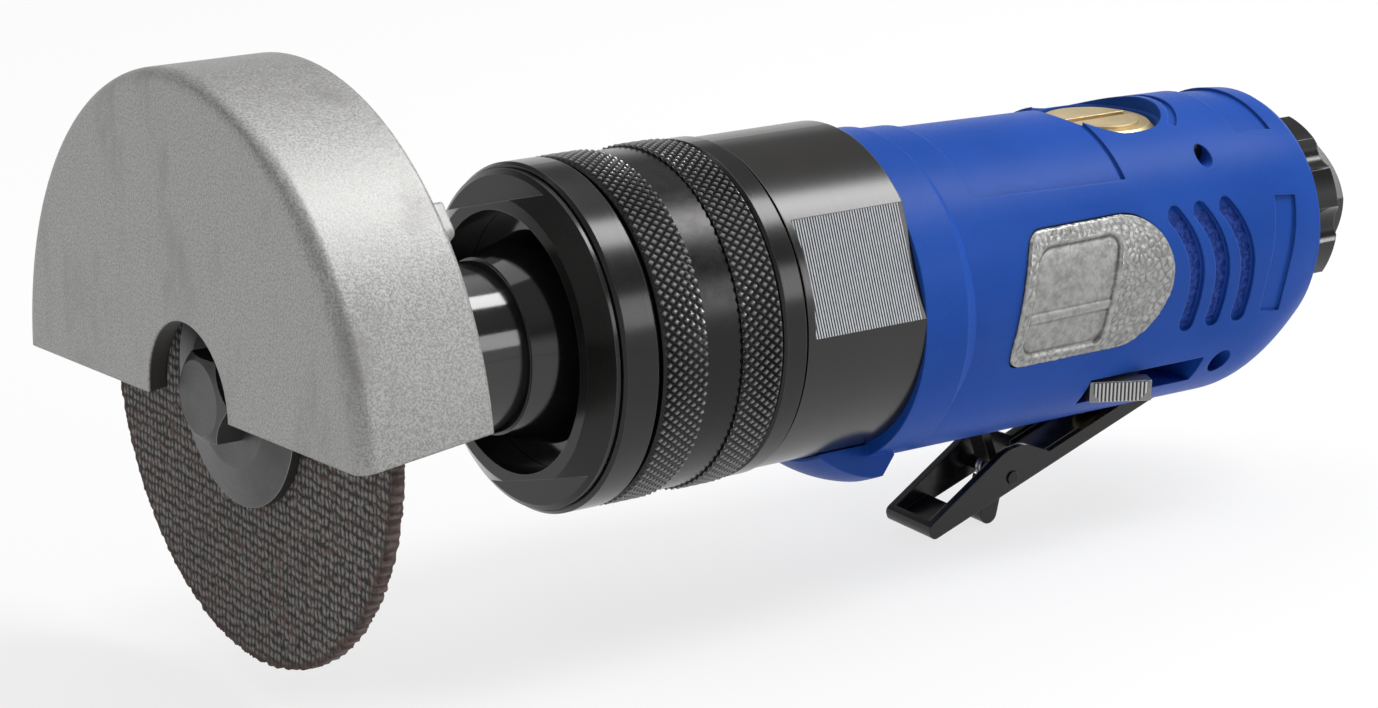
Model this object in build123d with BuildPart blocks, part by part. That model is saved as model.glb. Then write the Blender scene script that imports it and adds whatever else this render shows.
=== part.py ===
from build123d import *
import math
import os

os.makedirs("parts", exist_ok=True)

# A hand-held pneumatic cut-off tool, in millimetres. The tool axis is X: the air inlet's mouth is at
# the origin, the cutting wheel at the -X end, and the throttle lever hangs below (-Z).

# Fits between pieces
close_fit = 0.01
running_fit = 0.05
seat_gap = 0.02
face_gap = 0.25

# Cutting wheel, flanges and arbor
wheel_diameter = 75.0
wheel_thickness = 2.0
wheel_bore = 9.53
flange_diameter = 30.8
inner_flange_thickness = 4.0
outer_flange_thickness = 2.6
outer_flange_rim = 1.4
outer_flange_hub = 19.8
flange_relief = 0.5
flange_relief_diameter = 22.0
arbor_head_flats = 11.2
arbor_head_height = 4.3
arbor_head_chamfer = 1.1
arbor_thread = 6.35
arbor_thread_length = 18.0
arbor_nose_setback = 0.5
spindle_diameter = 12.0

# Guard
guard_wheel_gap = 5.7
guard_wall = 2.8
guard_back_wall = 3.2
guard_depth = 19.3
guard_center_drop = 2.6
guard_wheel_setback = 9.3
guard_drop = 0.5
guard_lean = 4.3
guard_rear_rise = 2.3
guard_front_round = 2.2
guard_rim_round = 0.8
guard_notch_radius = 10.9
guard_notch_offset = 1.7
guard_hub_diameter = 34.0
guard_hub_length = 5.0
guard_pad_length = 5.0
guard_pad_width = 4.0
guard_pad_height = 2.4
guard_pad_round = 0.8
guard_pad_radius = 40.0
guard_pad_angle = 141.0
guard_screw_diameter = 4.0
guard_screw_count = 3

# Neck sleeve and the swivel that clamps it
neck_diameter = 24.0
neck_reach = 30.55
neck_bore = 15.2
neck_cone_diameter = 29.8
neck_cone_step = 0.3
neck_cone_lead = 3.6
neck_flange_thickness = 2.4
neck_bush_wall = 1.5
neck_bush_length = 14.0
nut_bore = 36.8
nut_head_length = 2.9
nut_head_diameter = 47.6
nut_face_diameter = 40.6
nut_rim_length = 0.6
nut_flats = 38.4
nut_flats_depth = 1.8
nut_lean = 17.5
nut_skirt_length = 2.2
collar_proud = 0.55
collar_length = 6.2
collar_bevel = 0.9
collar_tail_wall = 1.0
collar_tail_length = 6.0

# Lock ring and stop ring
lock_ring_proud = 0.65
lock_ring_length = 20.0
lock_ring_plain_band = 5.8
lock_ring_plain_depth = 0.5
lock_ring_chamfer = 0.6
ring_gap = 0.25
stop_ring_proud = 0.35
stop_ring_length = 4.0
stop_ring_chamfer = 0.4

# Motor housing
housing_diameter = 48.1
housing_bare_length = 20.8
housing_thread_diameter = 40.6
housing_bore = 34.4
housing_flat_half_angle = 20.5
housing_flat_angle = 22.7
housing_flat_setback = 1.2
housing_rear_bore = 26.0
spigot_diameter = 38.0
spigot_length = 15.5
gasket_thickness = 0.8

# Air motor
circlip_setback = 1.2
circlip_thickness = 1.4
circlip_depth = 1.0
circlip_width = 2.6
circlip_gap_angle = 30.0
front_plate_thickness = 9.0
rear_plate_thickness = 8.0
cylinder_length = 36.0
cylinder_bore = 27.0
rotor_diameter = 23.2
rotor_end_gap = 0.3
rotor_least_gap = 0.2
rotor_grip_length = 24.0
vane_count = 5
vane_thickness = 1.6
vane_height = 5.5
vane_tip_setback = 0.2
dowel_diameter = 2.5
dowel_depth = 3.0
front_bearing_bore = 8.0
front_bearing_outside = 22.0
front_bearing_width = 7.0
rear_bearing_bore = 6.0
rear_bearing_outside = 19.0
rear_bearing_width = 6.0
bearing_pocket_setback = 0.6
shaft_hole_gap = 0.6
ball_count = 7
ball_share = 0.28
bearing_ring_share = 1 / 3

# Grip housing
grip_length = 82.0
grip_crown_front = 22.0
grip_crown_rear = 20.3
grip_keel_front = 19.2
grip_keel_rear = 19.4
grip_keel_drop = 7.7
grip_tail_length = 13.0
grip_tail_crown = 19.5
grip_tail_keel = 19.1
grip_tail_drop = 1.4
grip_tail_steps = 4
grip_rear_round = 1.2
grip_collar_proud = 0.15
grip_collar_drop = 2.0
grip_collar_length = 7.6
grip_collar_slope = 4.6
grip_collar_toe = 3.4
chin_forward = 8.6
chin_back = 4.5
chin_depth = 5.0
chin_toe_height = 0.5
chin_middle_along = 0.36
chin_middle_rise = 0.76
chin_top_from = 0.64
chin_top_to = 0.77
chin_heel_rise = 0.47
chin_half_angle = 28.0
chin_housing_gap = 0.15
exhaust_duct_offset = 13.2
exhaust_duct_diameter = 5.2
exhaust_groove_inner = 10.6
exhaust_groove_outer = 14.2
exhaust_groove_depth = 3.0
intake_duct_diameter = 8.0
drive_duct_diameter = 6.0
drive_duct_offset = 8.0

# Marks and grips on the housing
mark_depth = 0.5
groove_depth = 0.9
groove_count = 3
groove_pitch = 5.3
groove_width = 3.0
groove_radius = 18.4
groove_center_z = -4.4
groove_top_angle = 40.5
groove_bottom_angle = -16.0
groove_setback = 26.4
top_panel_setback = 38.2
top_panel_length = 29.5
top_panel_half_width = 15.9
rear_panel_setback = 4.8
rear_panel_length = 7.3
rear_panel_half_width = 11.7
side_panel_setback = 8.7
side_panel_length = 4.5
side_panel_center_z = -1.4
side_panel_height = 18.2
side_panel_lean = 6.5
arc_mark_radius = 11.6
arc_mark_width = 1.3
arc_mark_half_angle = 48.0

# Badge plate
badge_setback = 32.0
badge_length = 30.0
badge_height = 20.3
badge_center_z = -0.9
badge_slant = 2.6
badge_bulge = 1.3
badge_top_corner = 3.0
badge_low_corner = 1.8
badge_recess = 1.2
badge_proud = 0.5
badge_gap = 0.2

# Reverse valve, throttle valve and reverse lever
valve_setback = 30.3
sleeve_diameter = 18.6
sleeve_top = 18.4
sleeve_bevel = 1.2
sleeve_shank_top = -16.4
sleeve_bottom = -20.8
sleeve_shank_diameter = 13.0
sleeve_chamber_diameter = 10.0
sleeve_seat_z = -6.0
sleeve_port_diameter = 5.0
sleeve_inlet_port_z = 2.0
sleeve_outlet_port_z = -10.0
window_gap = 0.5
seal_ring_wire = 1.2
upper_seal_z = 10.6
lower_seal_z = -14.0
cap_diameter = 13.0
cap_depth = 5.0
cap_rise = 0.4
cap_slot_width = 1.8
cap_slot_depth = 1.2
stem_diameter = 4.0
stem_web_gap = 0.15
stem_head_diameter = 8.4
stem_head_thickness = 2.0
seal_washer_thickness = 1.0
spring_wire = 0.9
spring_turns = 6
retaining_pin_diameter = 3.0
retaining_pin_z = 14.5
retaining_pin_length = 25.0
retaining_groove_depth = 1.9
reverse_ring_diameter = 19.2
reverse_arm_width = 7.0
reverse_arm_thickness = 3.2
reverse_arm_bottom = -20.4
reverse_tab_reach = 20.0
reverse_tab_thickness = 3.0
reverse_tab_width = 9.6
reverse_tab_bevel = 1.8
reverse_rest_angle = 25.0
reverse_swing = 36.0
reverse_screw_diameter = 2.5
reverse_slot_gap = 0.8
reverse_slot_top = -16.5
reverse_slot_bottom = -21.0

# Throttle lever and safety catch
pivot_setback = 17.0
pivot_z = -18.0
pivot_pin_diameter = 4.0
pivot_pin_length = 26.0
lever_hang = 19.4
lever_length = 51.9
lever_width = 10.6
lever_sheet = 1.3
lever_web_offset = 7.1
lever_ear_radius = 3.4
lever_ear_tail_angle = 217.0
lever_ear_throat_angle = -45.0
lever_nose_height = 2.4
lever_cheek_height = 6.6
lever_cheek_front = 34.8
lever_cheek_rear = 31.0
lever_cheek_fall = 0.8
lever_rail_height = 2.2
lever_rail_front = 27.0
lever_rail_rear = 13.0
lever_window_front = 44.6
lever_window_rear = 27.5
lever_nose_round = 1.1
lever_cheek_round = 5.0
channel_side_gap = 1.1
channel_front = 54.0
channel_rear = 5.6
channel_ledge_end = 35.0
channel_ledge_z = -22.9
channel_roof_z = -19.2
channel_ear_front = 6.2
channel_ear_roof = 4.4
catch_along_lever = 34.9
catch_above_web = 1.9
catch_pin_diameter = 2.0
catch_width = 3.6
catch_leg_length = 11.0
catch_leg_thickness = 1.5
catch_leg_lean = 23.0
catch_tab_length = 8.4
catch_tab_thickness = 3.2
catch_tab_lean = -12.0
catch_knuckle_radius = 2.0
catch_spring_wire = 0.6
catch_spring_turns = 2
catch_spring_pitch = 0.75

# Rear end: exhaust deflector, inlet bushing, screen and seal
hex_length = 7.4
hex_flats = 17.0
hex_chamfer = 2.4
hex_chamfer_rise = 1.8
hex_turn = -12.0
shank_diameter = 15.0
shank_grip_length = 11.0
inlet_bore = 11.4
inlet_bore_depth = 15.0
inlet_throat = 8.0
deflector_diameter = 30.0
deflector_length = 8.8
deflector_chamfer = 0.8
scallop_count = 8
scallop_radius = 3.4
scallop_depth = 1.7
screen_thickness = 0.8
screen_hole = 1.4
screen_hole_rings = 2
screen_hole_pitch = 2.0
inlet_seal_wire = 1.4
inlet_seal_setback = 3.0

# Places along the axis, from the inlet's mouth forward
hex_front_x = -hex_length
deflector_rear_x = hex_front_x - face_gap
deflector_front_x = deflector_rear_x - deflector_length
grip_rear_x = deflector_front_x - face_gap
grip_front_x = grip_rear_x - grip_length
seam_x = grip_front_x - seat_gap - housing_bare_length
stop_rear_x = seam_x - ring_gap
stop_front_x = stop_rear_x - stop_ring_length
lock_rear_x = stop_front_x - ring_gap
lock_front_x = lock_rear_x - lock_ring_length
collar_rear_x = lock_front_x - ring_gap
collar_front_x = collar_rear_x - collar_length
nut_rear_x = collar_front_x - ring_gap
nut_front_x = nut_rear_x - nut_head_length
skirt_rear_x = collar_front_x + nut_skirt_length
neck_flange_front_x = skirt_rear_x + running_fit
neck_flange_rear_x = neck_flange_front_x + neck_flange_thickness
housing_front_x = neck_flange_rear_x + running_fit
guard_back_x = nut_front_x - neck_reach
guard_front_x = guard_back_x - guard_depth
wheel_front_x = guard_front_x + guard_wheel_setback
wheel_rear_x = wheel_front_x + wheel_thickness
spindle_shoulder_x = wheel_rear_x + inner_flange_thickness
spigot_rear_x = grip_front_x + spigot_length
grip_floor_x = spigot_rear_x + gasket_thickness + 2 * seat_gap
circlip_front_x = housing_front_x + circlip_setback
circlip_rear_x = circlip_front_x + circlip_thickness
front_plate_x = circlip_rear_x + seat_gap
cylinder_front_x = front_plate_x + front_plate_thickness + seat_gap
cylinder_rear_x = cylinder_front_x + cylinder_length
rear_plate_x = cylinder_rear_x + seat_gap
rear_plate_rear_x = rear_plate_x + rear_plate_thickness
front_bearing_x = front_plate_x + bearing_pocket_setback
rear_bearing_x = rear_plate_rear_x - bearing_pocket_setback - rear_bearing_width
rotor_front_x = cylinder_front_x + rotor_end_gap
rotor_rear_x = cylinder_rear_x - rotor_end_gap
valve_x = grip_rear_x - valve_setback
pivot_x = grip_rear_x - pivot_setback

# Radii shared by pieces that fit each other
guard_inner_radius = wheel_diameter / 2 + guard_wheel_gap
guard_radius = guard_inner_radius + guard_wall
housing_radius = housing_diameter / 2
collar_radius = housing_radius + collar_proud
lock_radius = housing_radius + lock_ring_proud
stop_radius = housing_radius + stop_ring_proud
grip_collar_radius = housing_radius + grip_collar_proud
thread_radius = housing_thread_diameter / 2
neck_flange_radius = thread_radius - running_fit
spindle_radius = spindle_diameter / 2
journal_radius = front_bearing_bore / 2
sleeve_radius = sleeve_diameter / 2
shank_radius = shank_diameter / 2


def half_section(*points):
    """A half section beside the tool axis, from (x, radius) points."""
    with BuildSketch(Plane.XZ) as section:
        with BuildLine():
            Polyline(*points, close=True)
        make_face()
    return section.sketch


def tube_section(front, rear, outer, inner):
    """The half section of a plain tube or ring."""
    return half_section((front, inner), (rear, inner), (rear, outer), (front, outer))


def leaning_plane(x, lean):
    """A plane across the axis whose own upright leans by an angle towards +Y."""
    lean_rad = math.radians(lean)
    return Plane(origin=(x, 0, 0), x_dir=(0, math.cos(lean_rad), -math.sin(lean_rad)), z_dir=(1, 0, 0))


def radial_plane(angle):
    """A plane through the axis: its own Y points outwards at an angle from +Y towards +Z."""
    angle_rad = math.radians(angle)
    return Plane(origin=(0, 0, 0), x_dir=(1, 0, 0), z_dir=(0, -math.sin(angle_rad), math.cos(angle_rad)))


def save(piece, name):
    """Labels a finished piece and writes it."""
    piece.part.label = name
    export_step(piece.part, f"parts/{name}.step")


# Cutting wheel: a thin bonded abrasive disc
with BuildPart() as cutting_wheel:
    revolve(tube_section(wheel_front_x, wheel_rear_x, wheel_diameter / 2, wheel_bore / 2), axis=Axis.X)
save(cutting_wheel, "cutting_wheel")

# Inner flange: seats on the spindle's shoulder and is relieved so that only its rim bears on the wheel
with BuildPart() as inner_flange:
    revolve(
        half_section(
            (wheel_rear_x + flange_relief, wheel_bore / 2),
            (spindle_shoulder_x - seat_gap, wheel_bore / 2),
            (spindle_shoulder_x - seat_gap, flange_diameter / 2 - outer_flange_rim),
            (wheel_rear_x + outer_flange_rim, flange_diameter / 2),
            (wheel_rear_x + seat_gap, flange_diameter / 2),
            (wheel_rear_x + seat_gap, flange_relief_diameter / 2),
            (wheel_rear_x + flange_relief, flange_relief_diameter / 2),
        ),
        axis=Axis.X,
    )
save(inner_flange, "inner_flange")

# Outer flange: a bevelled clamping washer with a flat hub
flange_face_x = wheel_front_x - outer_flange_thickness
arbor_clearance_radius = arbor_thread / 2 + running_fit
with BuildPart() as outer_flange:
    revolve(
        half_section(
            (flange_face_x, arbor_clearance_radius),
            (wheel_front_x - flange_relief, arbor_clearance_radius),
            (wheel_front_x - flange_relief, flange_relief_diameter / 2),
            (wheel_front_x - seat_gap, flange_relief_diameter / 2),
            (wheel_front_x - seat_gap, flange_diameter / 2),
            (wheel_front_x - outer_flange_rim, flange_diameter / 2),
            (flange_face_x, outer_flange_hub / 2),
        ),
        axis=Axis.X,
    )
save(outer_flange, "outer_flange")

# Arbor screw: a hexagon head with a turned, chamfered face
head_rear_x = flange_face_x - seat_gap
head_front_x = head_rear_x - arbor_head_height
head_flat_radius = arbor_head_flats / 2
with BuildPart() as arbor_screw:
    with BuildSketch(Plane.YZ.offset(head_front_x)):
        RegularPolygon(head_flat_radius, 6, major_radius=False)
    extrude(amount=arbor_head_height)
    revolve(
        half_section(
            (head_front_x, 0),
            (head_front_x, head_flat_radius - arbor_head_chamfer / 2),
            (head_front_x + arbor_head_chamfer, head_flat_radius + arbor_head_chamfer),
            (head_rear_x, head_flat_radius + arbor_head_chamfer),
            (head_rear_x, 0),
        ),
        axis=Axis.X,
        mode=Mode.INTERSECT,
    )
    revolve(half_section(
        (head_rear_x, 0),
        (head_rear_x + arbor_thread_length, 0),
        (head_rear_x + arbor_thread_length, arbor_thread / 2 - arbor_head_chamfer / 2),
        (head_rear_x + arbor_thread_length - arbor_head_chamfer / 2, arbor_thread / 2),
        (head_rear_x, arbor_thread / 2),
    ), axis=Axis.X)
save(arbor_screw, "arbor_screw")

# Spindle: the wheel's pilot nose, the long shaft and the journal pressed into the rotor
nose_x = wheel_front_x + arbor_nose_setback
nose_radius = wheel_bore / 2 - running_fit
journal_rear_x = rotor_front_x + rotor_grip_length
screw_hole_rear_x = head_rear_x + arbor_thread_length + face_gap
with BuildPart() as spindle:
    revolve(
        half_section(
            (nose_x, arbor_clearance_radius),
            (nose_x, nose_radius),
            (spindle_shoulder_x, nose_radius),
            (spindle_shoulder_x, spindle_radius),
            (front_bearing_x - seat_gap, spindle_radius),
            (front_bearing_x - seat_gap, journal_radius - close_fit),
            (journal_rear_x, journal_radius - close_fit),
            (journal_rear_x, 0),
            (screw_hole_rear_x, 0),
            (screw_hole_rear_x, arbor_clearance_radius),
        ),
        axis=Axis.X,
    )
save(spindle, "spindle")

# Guard: a die-cast half drum over the wheel, open below, with a notch for the arbor screw and a hub
hub_screw_x = guard_back_x + guard_hub_length / 2
hub_radius = guard_hub_diameter / 2
neck_radius = neck_diameter / 2
guard_plane = leaning_plane(guard_front_x, guard_lean)
with BuildPart() as guard:
    with BuildSketch(guard_plane):
        with Locations((0, -guard_center_drop)):
            Circle(guard_radius)
        with Locations((0, -guard_drop)):
            Rectangle(
                2 * guard_radius, 2 * guard_radius,
                align=(Align.CENTER, Align.MIN), mode=Mode.INTERSECT,
            )
    extrude(amount=guard_depth)
    rim_edges = guard.edges().filter_by(GeomType.CIRCLE)
    fillet(rim_edges.group_by(Axis.X)[0], radius=guard_front_round)
    fillet(guard.edges().filter_by(GeomType.CIRCLE).group_by(Axis.X)[-1], radius=guard_rim_round)
    with BuildSketch(leaning_plane(guard_front_x + guard_wall, guard_lean)):
        with Locations((0, -guard_center_drop)):
            Circle(guard_inner_radius)
    extrude(amount=guard_depth - guard_wall - guard_back_wall, mode=Mode.SUBTRACT)
    with BuildSketch(guard_plane):
        with Locations((-guard_notch_offset, 0)):
            Circle(guard_notch_radius)
    extrude(amount=guard_wall, mode=Mode.SUBTRACT)
    with BuildSketch(Plane(origin=guard_plane.origin, x_dir=guard_plane.z_dir, z_dir=-guard_plane.x_dir)):
        with BuildLine():
            Polyline(
                (0, -guard_drop),
                (guard_depth, -guard_drop),
                (guard_depth, guard_rear_rise - guard_drop),
                close=True,
            )
        make_face()
    extrude(amount=2 * guard_radius, both=True, mode=Mode.SUBTRACT)
    with BuildSketch(Plane.YZ.offset(guard_back_x - guard_back_wall)):
        Circle(hub_radius)
    extrude(amount=guard_back_wall + guard_hub_length)
    with BuildSketch(leaning_plane(guard_back_x, guard_lean)):
        with PolarLocations(guard_pad_radius, 1, start_angle=guard_pad_angle):
            RectangleRounded(guard_pad_width, guard_pad_length, guard_pad_round)
    extrude(amount=guard_pad_height)
    with BuildSketch(Plane.YZ.offset(guard_back_x - guard_back_wall)):
        Circle(neck_radius + close_fit)
    extrude(amount=guard_back_wall + guard_hub_length, mode=Mode.SUBTRACT)
    for index in range(guard_screw_count):
        screw_angle = 90 + index * 360 / guard_screw_count
        with BuildSketch(radial_plane(screw_angle)):
            with Locations((hub_screw_x, 0)):
                Rectangle(guard_screw_diameter / 2 + close_fit, guard_hub_diameter, align=Align.MIN)
        revolve(
            axis=Axis((hub_screw_x, 0, 0), radial_plane(screw_angle).y_dir),
            mode=Mode.SUBTRACT,
        )
save(guard, "guard")

# Guard set screws: three grub screws that grip the neck through the hub
with BuildPart() as guard_set_screws:
    for index in range(guard_screw_count):
        screw_angle = 90 + index * 360 / guard_screw_count
        with BuildSketch(radial_plane(screw_angle)):
            with Locations((hub_screw_x, neck_radius + seat_gap)):
                Rectangle(
                    guard_screw_diameter / 2, hub_radius - neck_radius - seat_gap, align=Align.MIN
                )
        revolve(axis=Axis((hub_screw_x, 0, 0), radial_plane(screw_angle).y_dir))
save(guard_set_screws, "guard_set_screws")

# Neck sleeve: the black tube that carries the guard, with a conical root and a flange for the swivel
neck_front_x = guard_back_x - guard_back_wall
neck_cone_x = nut_front_x - neck_cone_lead
bush_rear_x = neck_front_x + neck_bush_length
bush_radius = spindle_radius + running_fit + neck_bush_wall
with BuildPart() as neck_sleeve:
    revolve(
        half_section(
            (neck_front_x, bush_radius),
            (bush_rear_x, bush_radius),
            (bush_rear_x, neck_bore / 2),
            (neck_flange_rear_x, neck_bore / 2),
            (neck_flange_rear_x, neck_flange_radius),
            (neck_flange_front_x, neck_flange_radius),
            (neck_flange_front_x, neck_cone_diameter / 2),
            (neck_cone_x, neck_radius + neck_cone_step),
            (neck_cone_x, neck_radius),
            (neck_front_x, neck_radius),
        ),
        axis=Axis.X,
    )
save(neck_sleeve, "neck_sleeve")

# Neck bush: the bronze sleeve that steadies the spindle
with BuildPart() as neck_bush:
    revolve(
        tube_section(
            neck_front_x, bush_rear_x - seat_gap, bush_radius - close_fit, spindle_radius + running_fit
        ),
        axis=Axis.X,
    )
save(neck_bush, "neck_bush")

# Front nut: a coned ring nut with two wrench flats, whose skirt screws into the collar over the neck's flange
skirt_radius = thread_radius - close_fit
with BuildPart() as front_nut:
    revolve(
        half_section(
            (nut_front_x, nut_bore / 2),
            (skirt_rear_x, nut_bore / 2),
            (skirt_rear_x, skirt_radius),
            (nut_rear_x, skirt_radius),
            (nut_rear_x, nut_head_diameter / 2),
            (nut_rear_x - nut_rim_length, nut_head_diameter / 2),
            (nut_front_x, nut_face_diameter / 2),
        ),
        axis=Axis.X,
    )
    with BuildSketch(leaning_plane(nut_front_x, nut_lean)):
        Rectangle(nut_head_diameter, nut_head_diameter)
        Rectangle(nut_head_diameter, nut_flats, mode=Mode.SUBTRACT)
    extrude(amount=nut_flats_depth, mode=Mode.SUBTRACT)
save(front_nut, "front_nut")

# Swivel collar: screwed onto the motor housing, its tail running on under the lock ring
tail_radius = thread_radius + close_fit + collar_tail_wall
tail_rear_x = collar_rear_x + collar_tail_length
with BuildPart() as swivel_collar:
    revolve(
        half_section(
            (collar_front_x, thread_radius + close_fit),
            (tail_rear_x, thread_radius + close_fit),
            (tail_rear_x, tail_radius),
            (collar_rear_x, tail_radius),
            (collar_rear_x, collar_radius - collar_bevel),
            (collar_rear_x - collar_bevel, collar_radius),
            (collar_front_x + collar_bevel / 2, collar_radius),
            (collar_front_x, collar_radius - collar_bevel / 2),
        ),
        axis=Axis.X,
    )
save(swivel_collar, "swivel_collar")

# Lock ring: two knurled bands and a plain one between them, turned by hand against the collar
plain_front_x = (lock_front_x + lock_rear_x - lock_ring_plain_band) / 2
plain_rear_x = plain_front_x + lock_ring_plain_band
lock_recess_rear_x = tail_rear_x + ring_gap
with BuildPart() as lock_ring:
    revolve(
        half_section(
            (lock_front_x, tail_radius + running_fit),
            (lock_recess_rear_x, tail_radius + running_fit),
            (lock_recess_rear_x, thread_radius + running_fit),
            (lock_rear_x, thread_radius + running_fit),
            (lock_rear_x, lock_radius - lock_ring_chamfer),
            (lock_rear_x - lock_ring_chamfer, lock_radius),
            (plain_rear_x, lock_radius),
            (plain_rear_x, lock_radius - lock_ring_plain_depth),
            (plain_front_x, lock_radius - lock_ring_plain_depth),
            (plain_front_x, lock_radius),
            (lock_front_x + lock_ring_chamfer, lock_radius),
            (lock_front_x, lock_radius - lock_ring_chamfer),
        ),
        axis=Axis.X,
    )
save(lock_ring, "lock_ring")

# Stop ring: the thin ring that ends the lock ring's thread
with BuildPart() as stop_ring:
    revolve(
        tube_section(stop_front_x, stop_rear_x, stop_radius, thread_radius + close_fit),
        axis=Axis.X,
    )
    outer_edges = stop_ring.edges().filter_by(GeomType.CIRCLE).sort_by(SortBy.RADIUS)[-2:]
    chamfer(outer_edges, length=stop_ring_chamfer)
save(stop_ring, "stop_ring")

# Motor housing: the black steel barrel, threaded in front, with a spigot into the grip and two milled flats
barrel_rear_x = grip_front_x - seat_gap
flat_distance = housing_radius * math.cos(math.radians(housing_flat_half_angle))
with BuildPart() as motor_housing:
    revolve(
        half_section(
            (housing_front_x, housing_bore / 2),
            (circlip_front_x, housing_bore / 2),
            (circlip_front_x, housing_bore / 2 + circlip_depth),
            (circlip_rear_x, housing_bore / 2 + circlip_depth),
            (circlip_rear_x, housing_bore / 2),
            (rear_plate_rear_x + seat_gap, housing_bore / 2),
            (rear_plate_rear_x + seat_gap, housing_rear_bore / 2),
            (spigot_rear_x, housing_rear_bore / 2),
            (spigot_rear_x, spigot_diameter / 2),
            (barrel_rear_x, spigot_diameter / 2),
            (barrel_rear_x, housing_radius),
            (seam_x, housing_radius),
            (seam_x, thread_radius),
            (housing_front_x, thread_radius),
        ),
        axis=Axis.X,
    )
    with BuildSketch(leaning_plane(seam_x + housing_flat_setback, housing_flat_angle - 90)):
        Rectangle(housing_diameter, housing_diameter)
        Rectangle(housing_diameter, 2 * flat_distance, mode=Mode.SUBTRACT)
    extrude(amount=barrel_rear_x - seam_x - housing_flat_setback, mode=Mode.SUBTRACT)
save(motor_housing, "motor_housing")

# Motor circlip: the open ring in the housing's groove that holds the motor in
circlip_radius = housing_bore / 2 + circlip_depth - close_fit
with BuildPart() as motor_circlip:
    with BuildSketch(Plane.YZ.offset(circlip_front_x + seat_gap)):
        Circle(circlip_radius)
        Circle(circlip_radius - circlip_width, mode=Mode.SUBTRACT)
        gap_width = 2 * circlip_radius * math.sin(math.radians(circlip_gap_angle / 2))
        Rectangle(gap_width, circlip_radius, align=(Align.CENTER, Align.MAX), mode=Mode.SUBTRACT)
    extrude(amount=circlip_thickness - 2 * seat_gap)
save(motor_circlip, "motor_circlip")


# Ball bearings: the two rings and the set of balls between them
def bearing(front_x, bore, outside, width):
    """The outer ring, the inner ring and the balls of one bearing."""
    pitch_radius = (bore + outside) / 4
    ring_wall = (outside - bore) / 2 * bearing_ring_share
    ball_radius = (outside - bore) / 2 * ball_share
    middle_x = front_x + width / 2
    with BuildPart() as outer_ring:
        revolve(
            tube_section(front_x, front_x + width, outside / 2 - close_fit, outside / 2 - ring_wall),
            axis=Axis.X,
        )
        with BuildSketch(Plane.XZ):
            with Locations((middle_x, pitch_radius)):
                Circle(ball_radius + running_fit)
        revolve(axis=Axis.X, mode=Mode.SUBTRACT)
    with BuildPart() as inner_ring:
        revolve(tube_section(front_x, front_x + width, bore / 2 + ring_wall, bore / 2), axis=Axis.X)
        with BuildSketch(Plane.XZ):
            with Locations((middle_x, pitch_radius)):
                Circle(ball_radius + running_fit)
        revolve(axis=Axis.X, mode=Mode.SUBTRACT)
    with BuildPart() as balls:
        with Locations(Plane.YZ.offset(middle_x)):
            with PolarLocations(pitch_radius, ball_count):
                Sphere(ball_radius)
    return outer_ring, inner_ring, balls


front_bearing = bearing(front_bearing_x, front_bearing_bore, front_bearing_outside, front_bearing_width)
rear_bearing = bearing(rear_bearing_x, rear_bearing_bore, rear_bearing_outside, rear_bearing_width)
for piece, name in zip(front_bearing, ("outer_ring", "inner_ring", "balls")):
    save(piece, f"front_bearing_{name}")
for piece, name in zip(rear_bearing, ("outer_ring", "inner_ring", "balls")):
    save(piece, f"rear_bearing_{name}")

# End plates: discs that close the cylinder and hold the bearings, drilled for the dowels
plate_radius = housing_bore / 2 - running_fit
bore_offset = cylinder_bore / 2 - rotor_diameter / 2 - rotor_least_gap
dowel_y = (math.sqrt((cylinder_bore / 2) ** 2 - bore_offset**2) + plate_radius) / 2
dowel_hole = dowel_diameter / 2 + close_fit
pocket_rear_x = front_bearing_x + front_bearing_width + seat_gap
with BuildPart() as front_end_plate:
    revolve(
        half_section(
            (front_plate_x, front_bearing_outside / 2),
            (pocket_rear_x, front_bearing_outside / 2),
            (pocket_rear_x, journal_radius + shaft_hole_gap),
            (front_plate_x + front_plate_thickness, journal_radius + shaft_hole_gap),
            (front_plate_x + front_plate_thickness, plate_radius),
            (front_plate_x, plate_radius),
        ),
        axis=Axis.X,
    )
    with BuildSketch(Plane.YZ.offset(cylinder_front_x - dowel_depth)):
        with Locations((dowel_y, 0), (-dowel_y, 0)):
            Circle(dowel_hole)
    extrude(amount=dowel_depth, mode=Mode.SUBTRACT)
save(front_end_plate, "front_end_plate")

stub_radius = rear_bearing_bore / 2 - close_fit
with BuildPart() as rear_end_plate:
    revolve(
        half_section(
            (rear_plate_x, stub_radius + shaft_hole_gap),
            (rear_bearing_x - seat_gap, stub_radius + shaft_hole_gap),
            (rear_bearing_x - seat_gap, rear_bearing_outside / 2),
            (rear_plate_rear_x, rear_bearing_outside / 2),
            (rear_plate_rear_x, plate_radius),
            (rear_plate_x, plate_radius),
        ),
        axis=Axis.X,
    )
    with BuildSketch(Plane.YZ.offset(rear_plate_x)):
        with Locations((dowel_y, 0), (-dowel_y, 0)):
            Circle(dowel_hole)
    extrude(amount=dowel_depth, mode=Mode.SUBTRACT)
save(rear_end_plate, "rear_end_plate")

# Motor cylinder: the liner, bored off centre so that the rotor nearly touches it below
with BuildPart() as motor_cylinder:
    with BuildSketch(Plane.YZ.offset(cylinder_front_x)):
        Circle(plate_radius)
        with Locations((0, bore_offset)):
            Circle(cylinder_bore / 2, mode=Mode.SUBTRACT)
        with Locations((dowel_y, 0), (-dowel_y, 0)):
            Circle(dowel_hole, mode=Mode.SUBTRACT)
    extrude(amount=cylinder_length)
save(motor_cylinder, "motor_cylinder")

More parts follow.
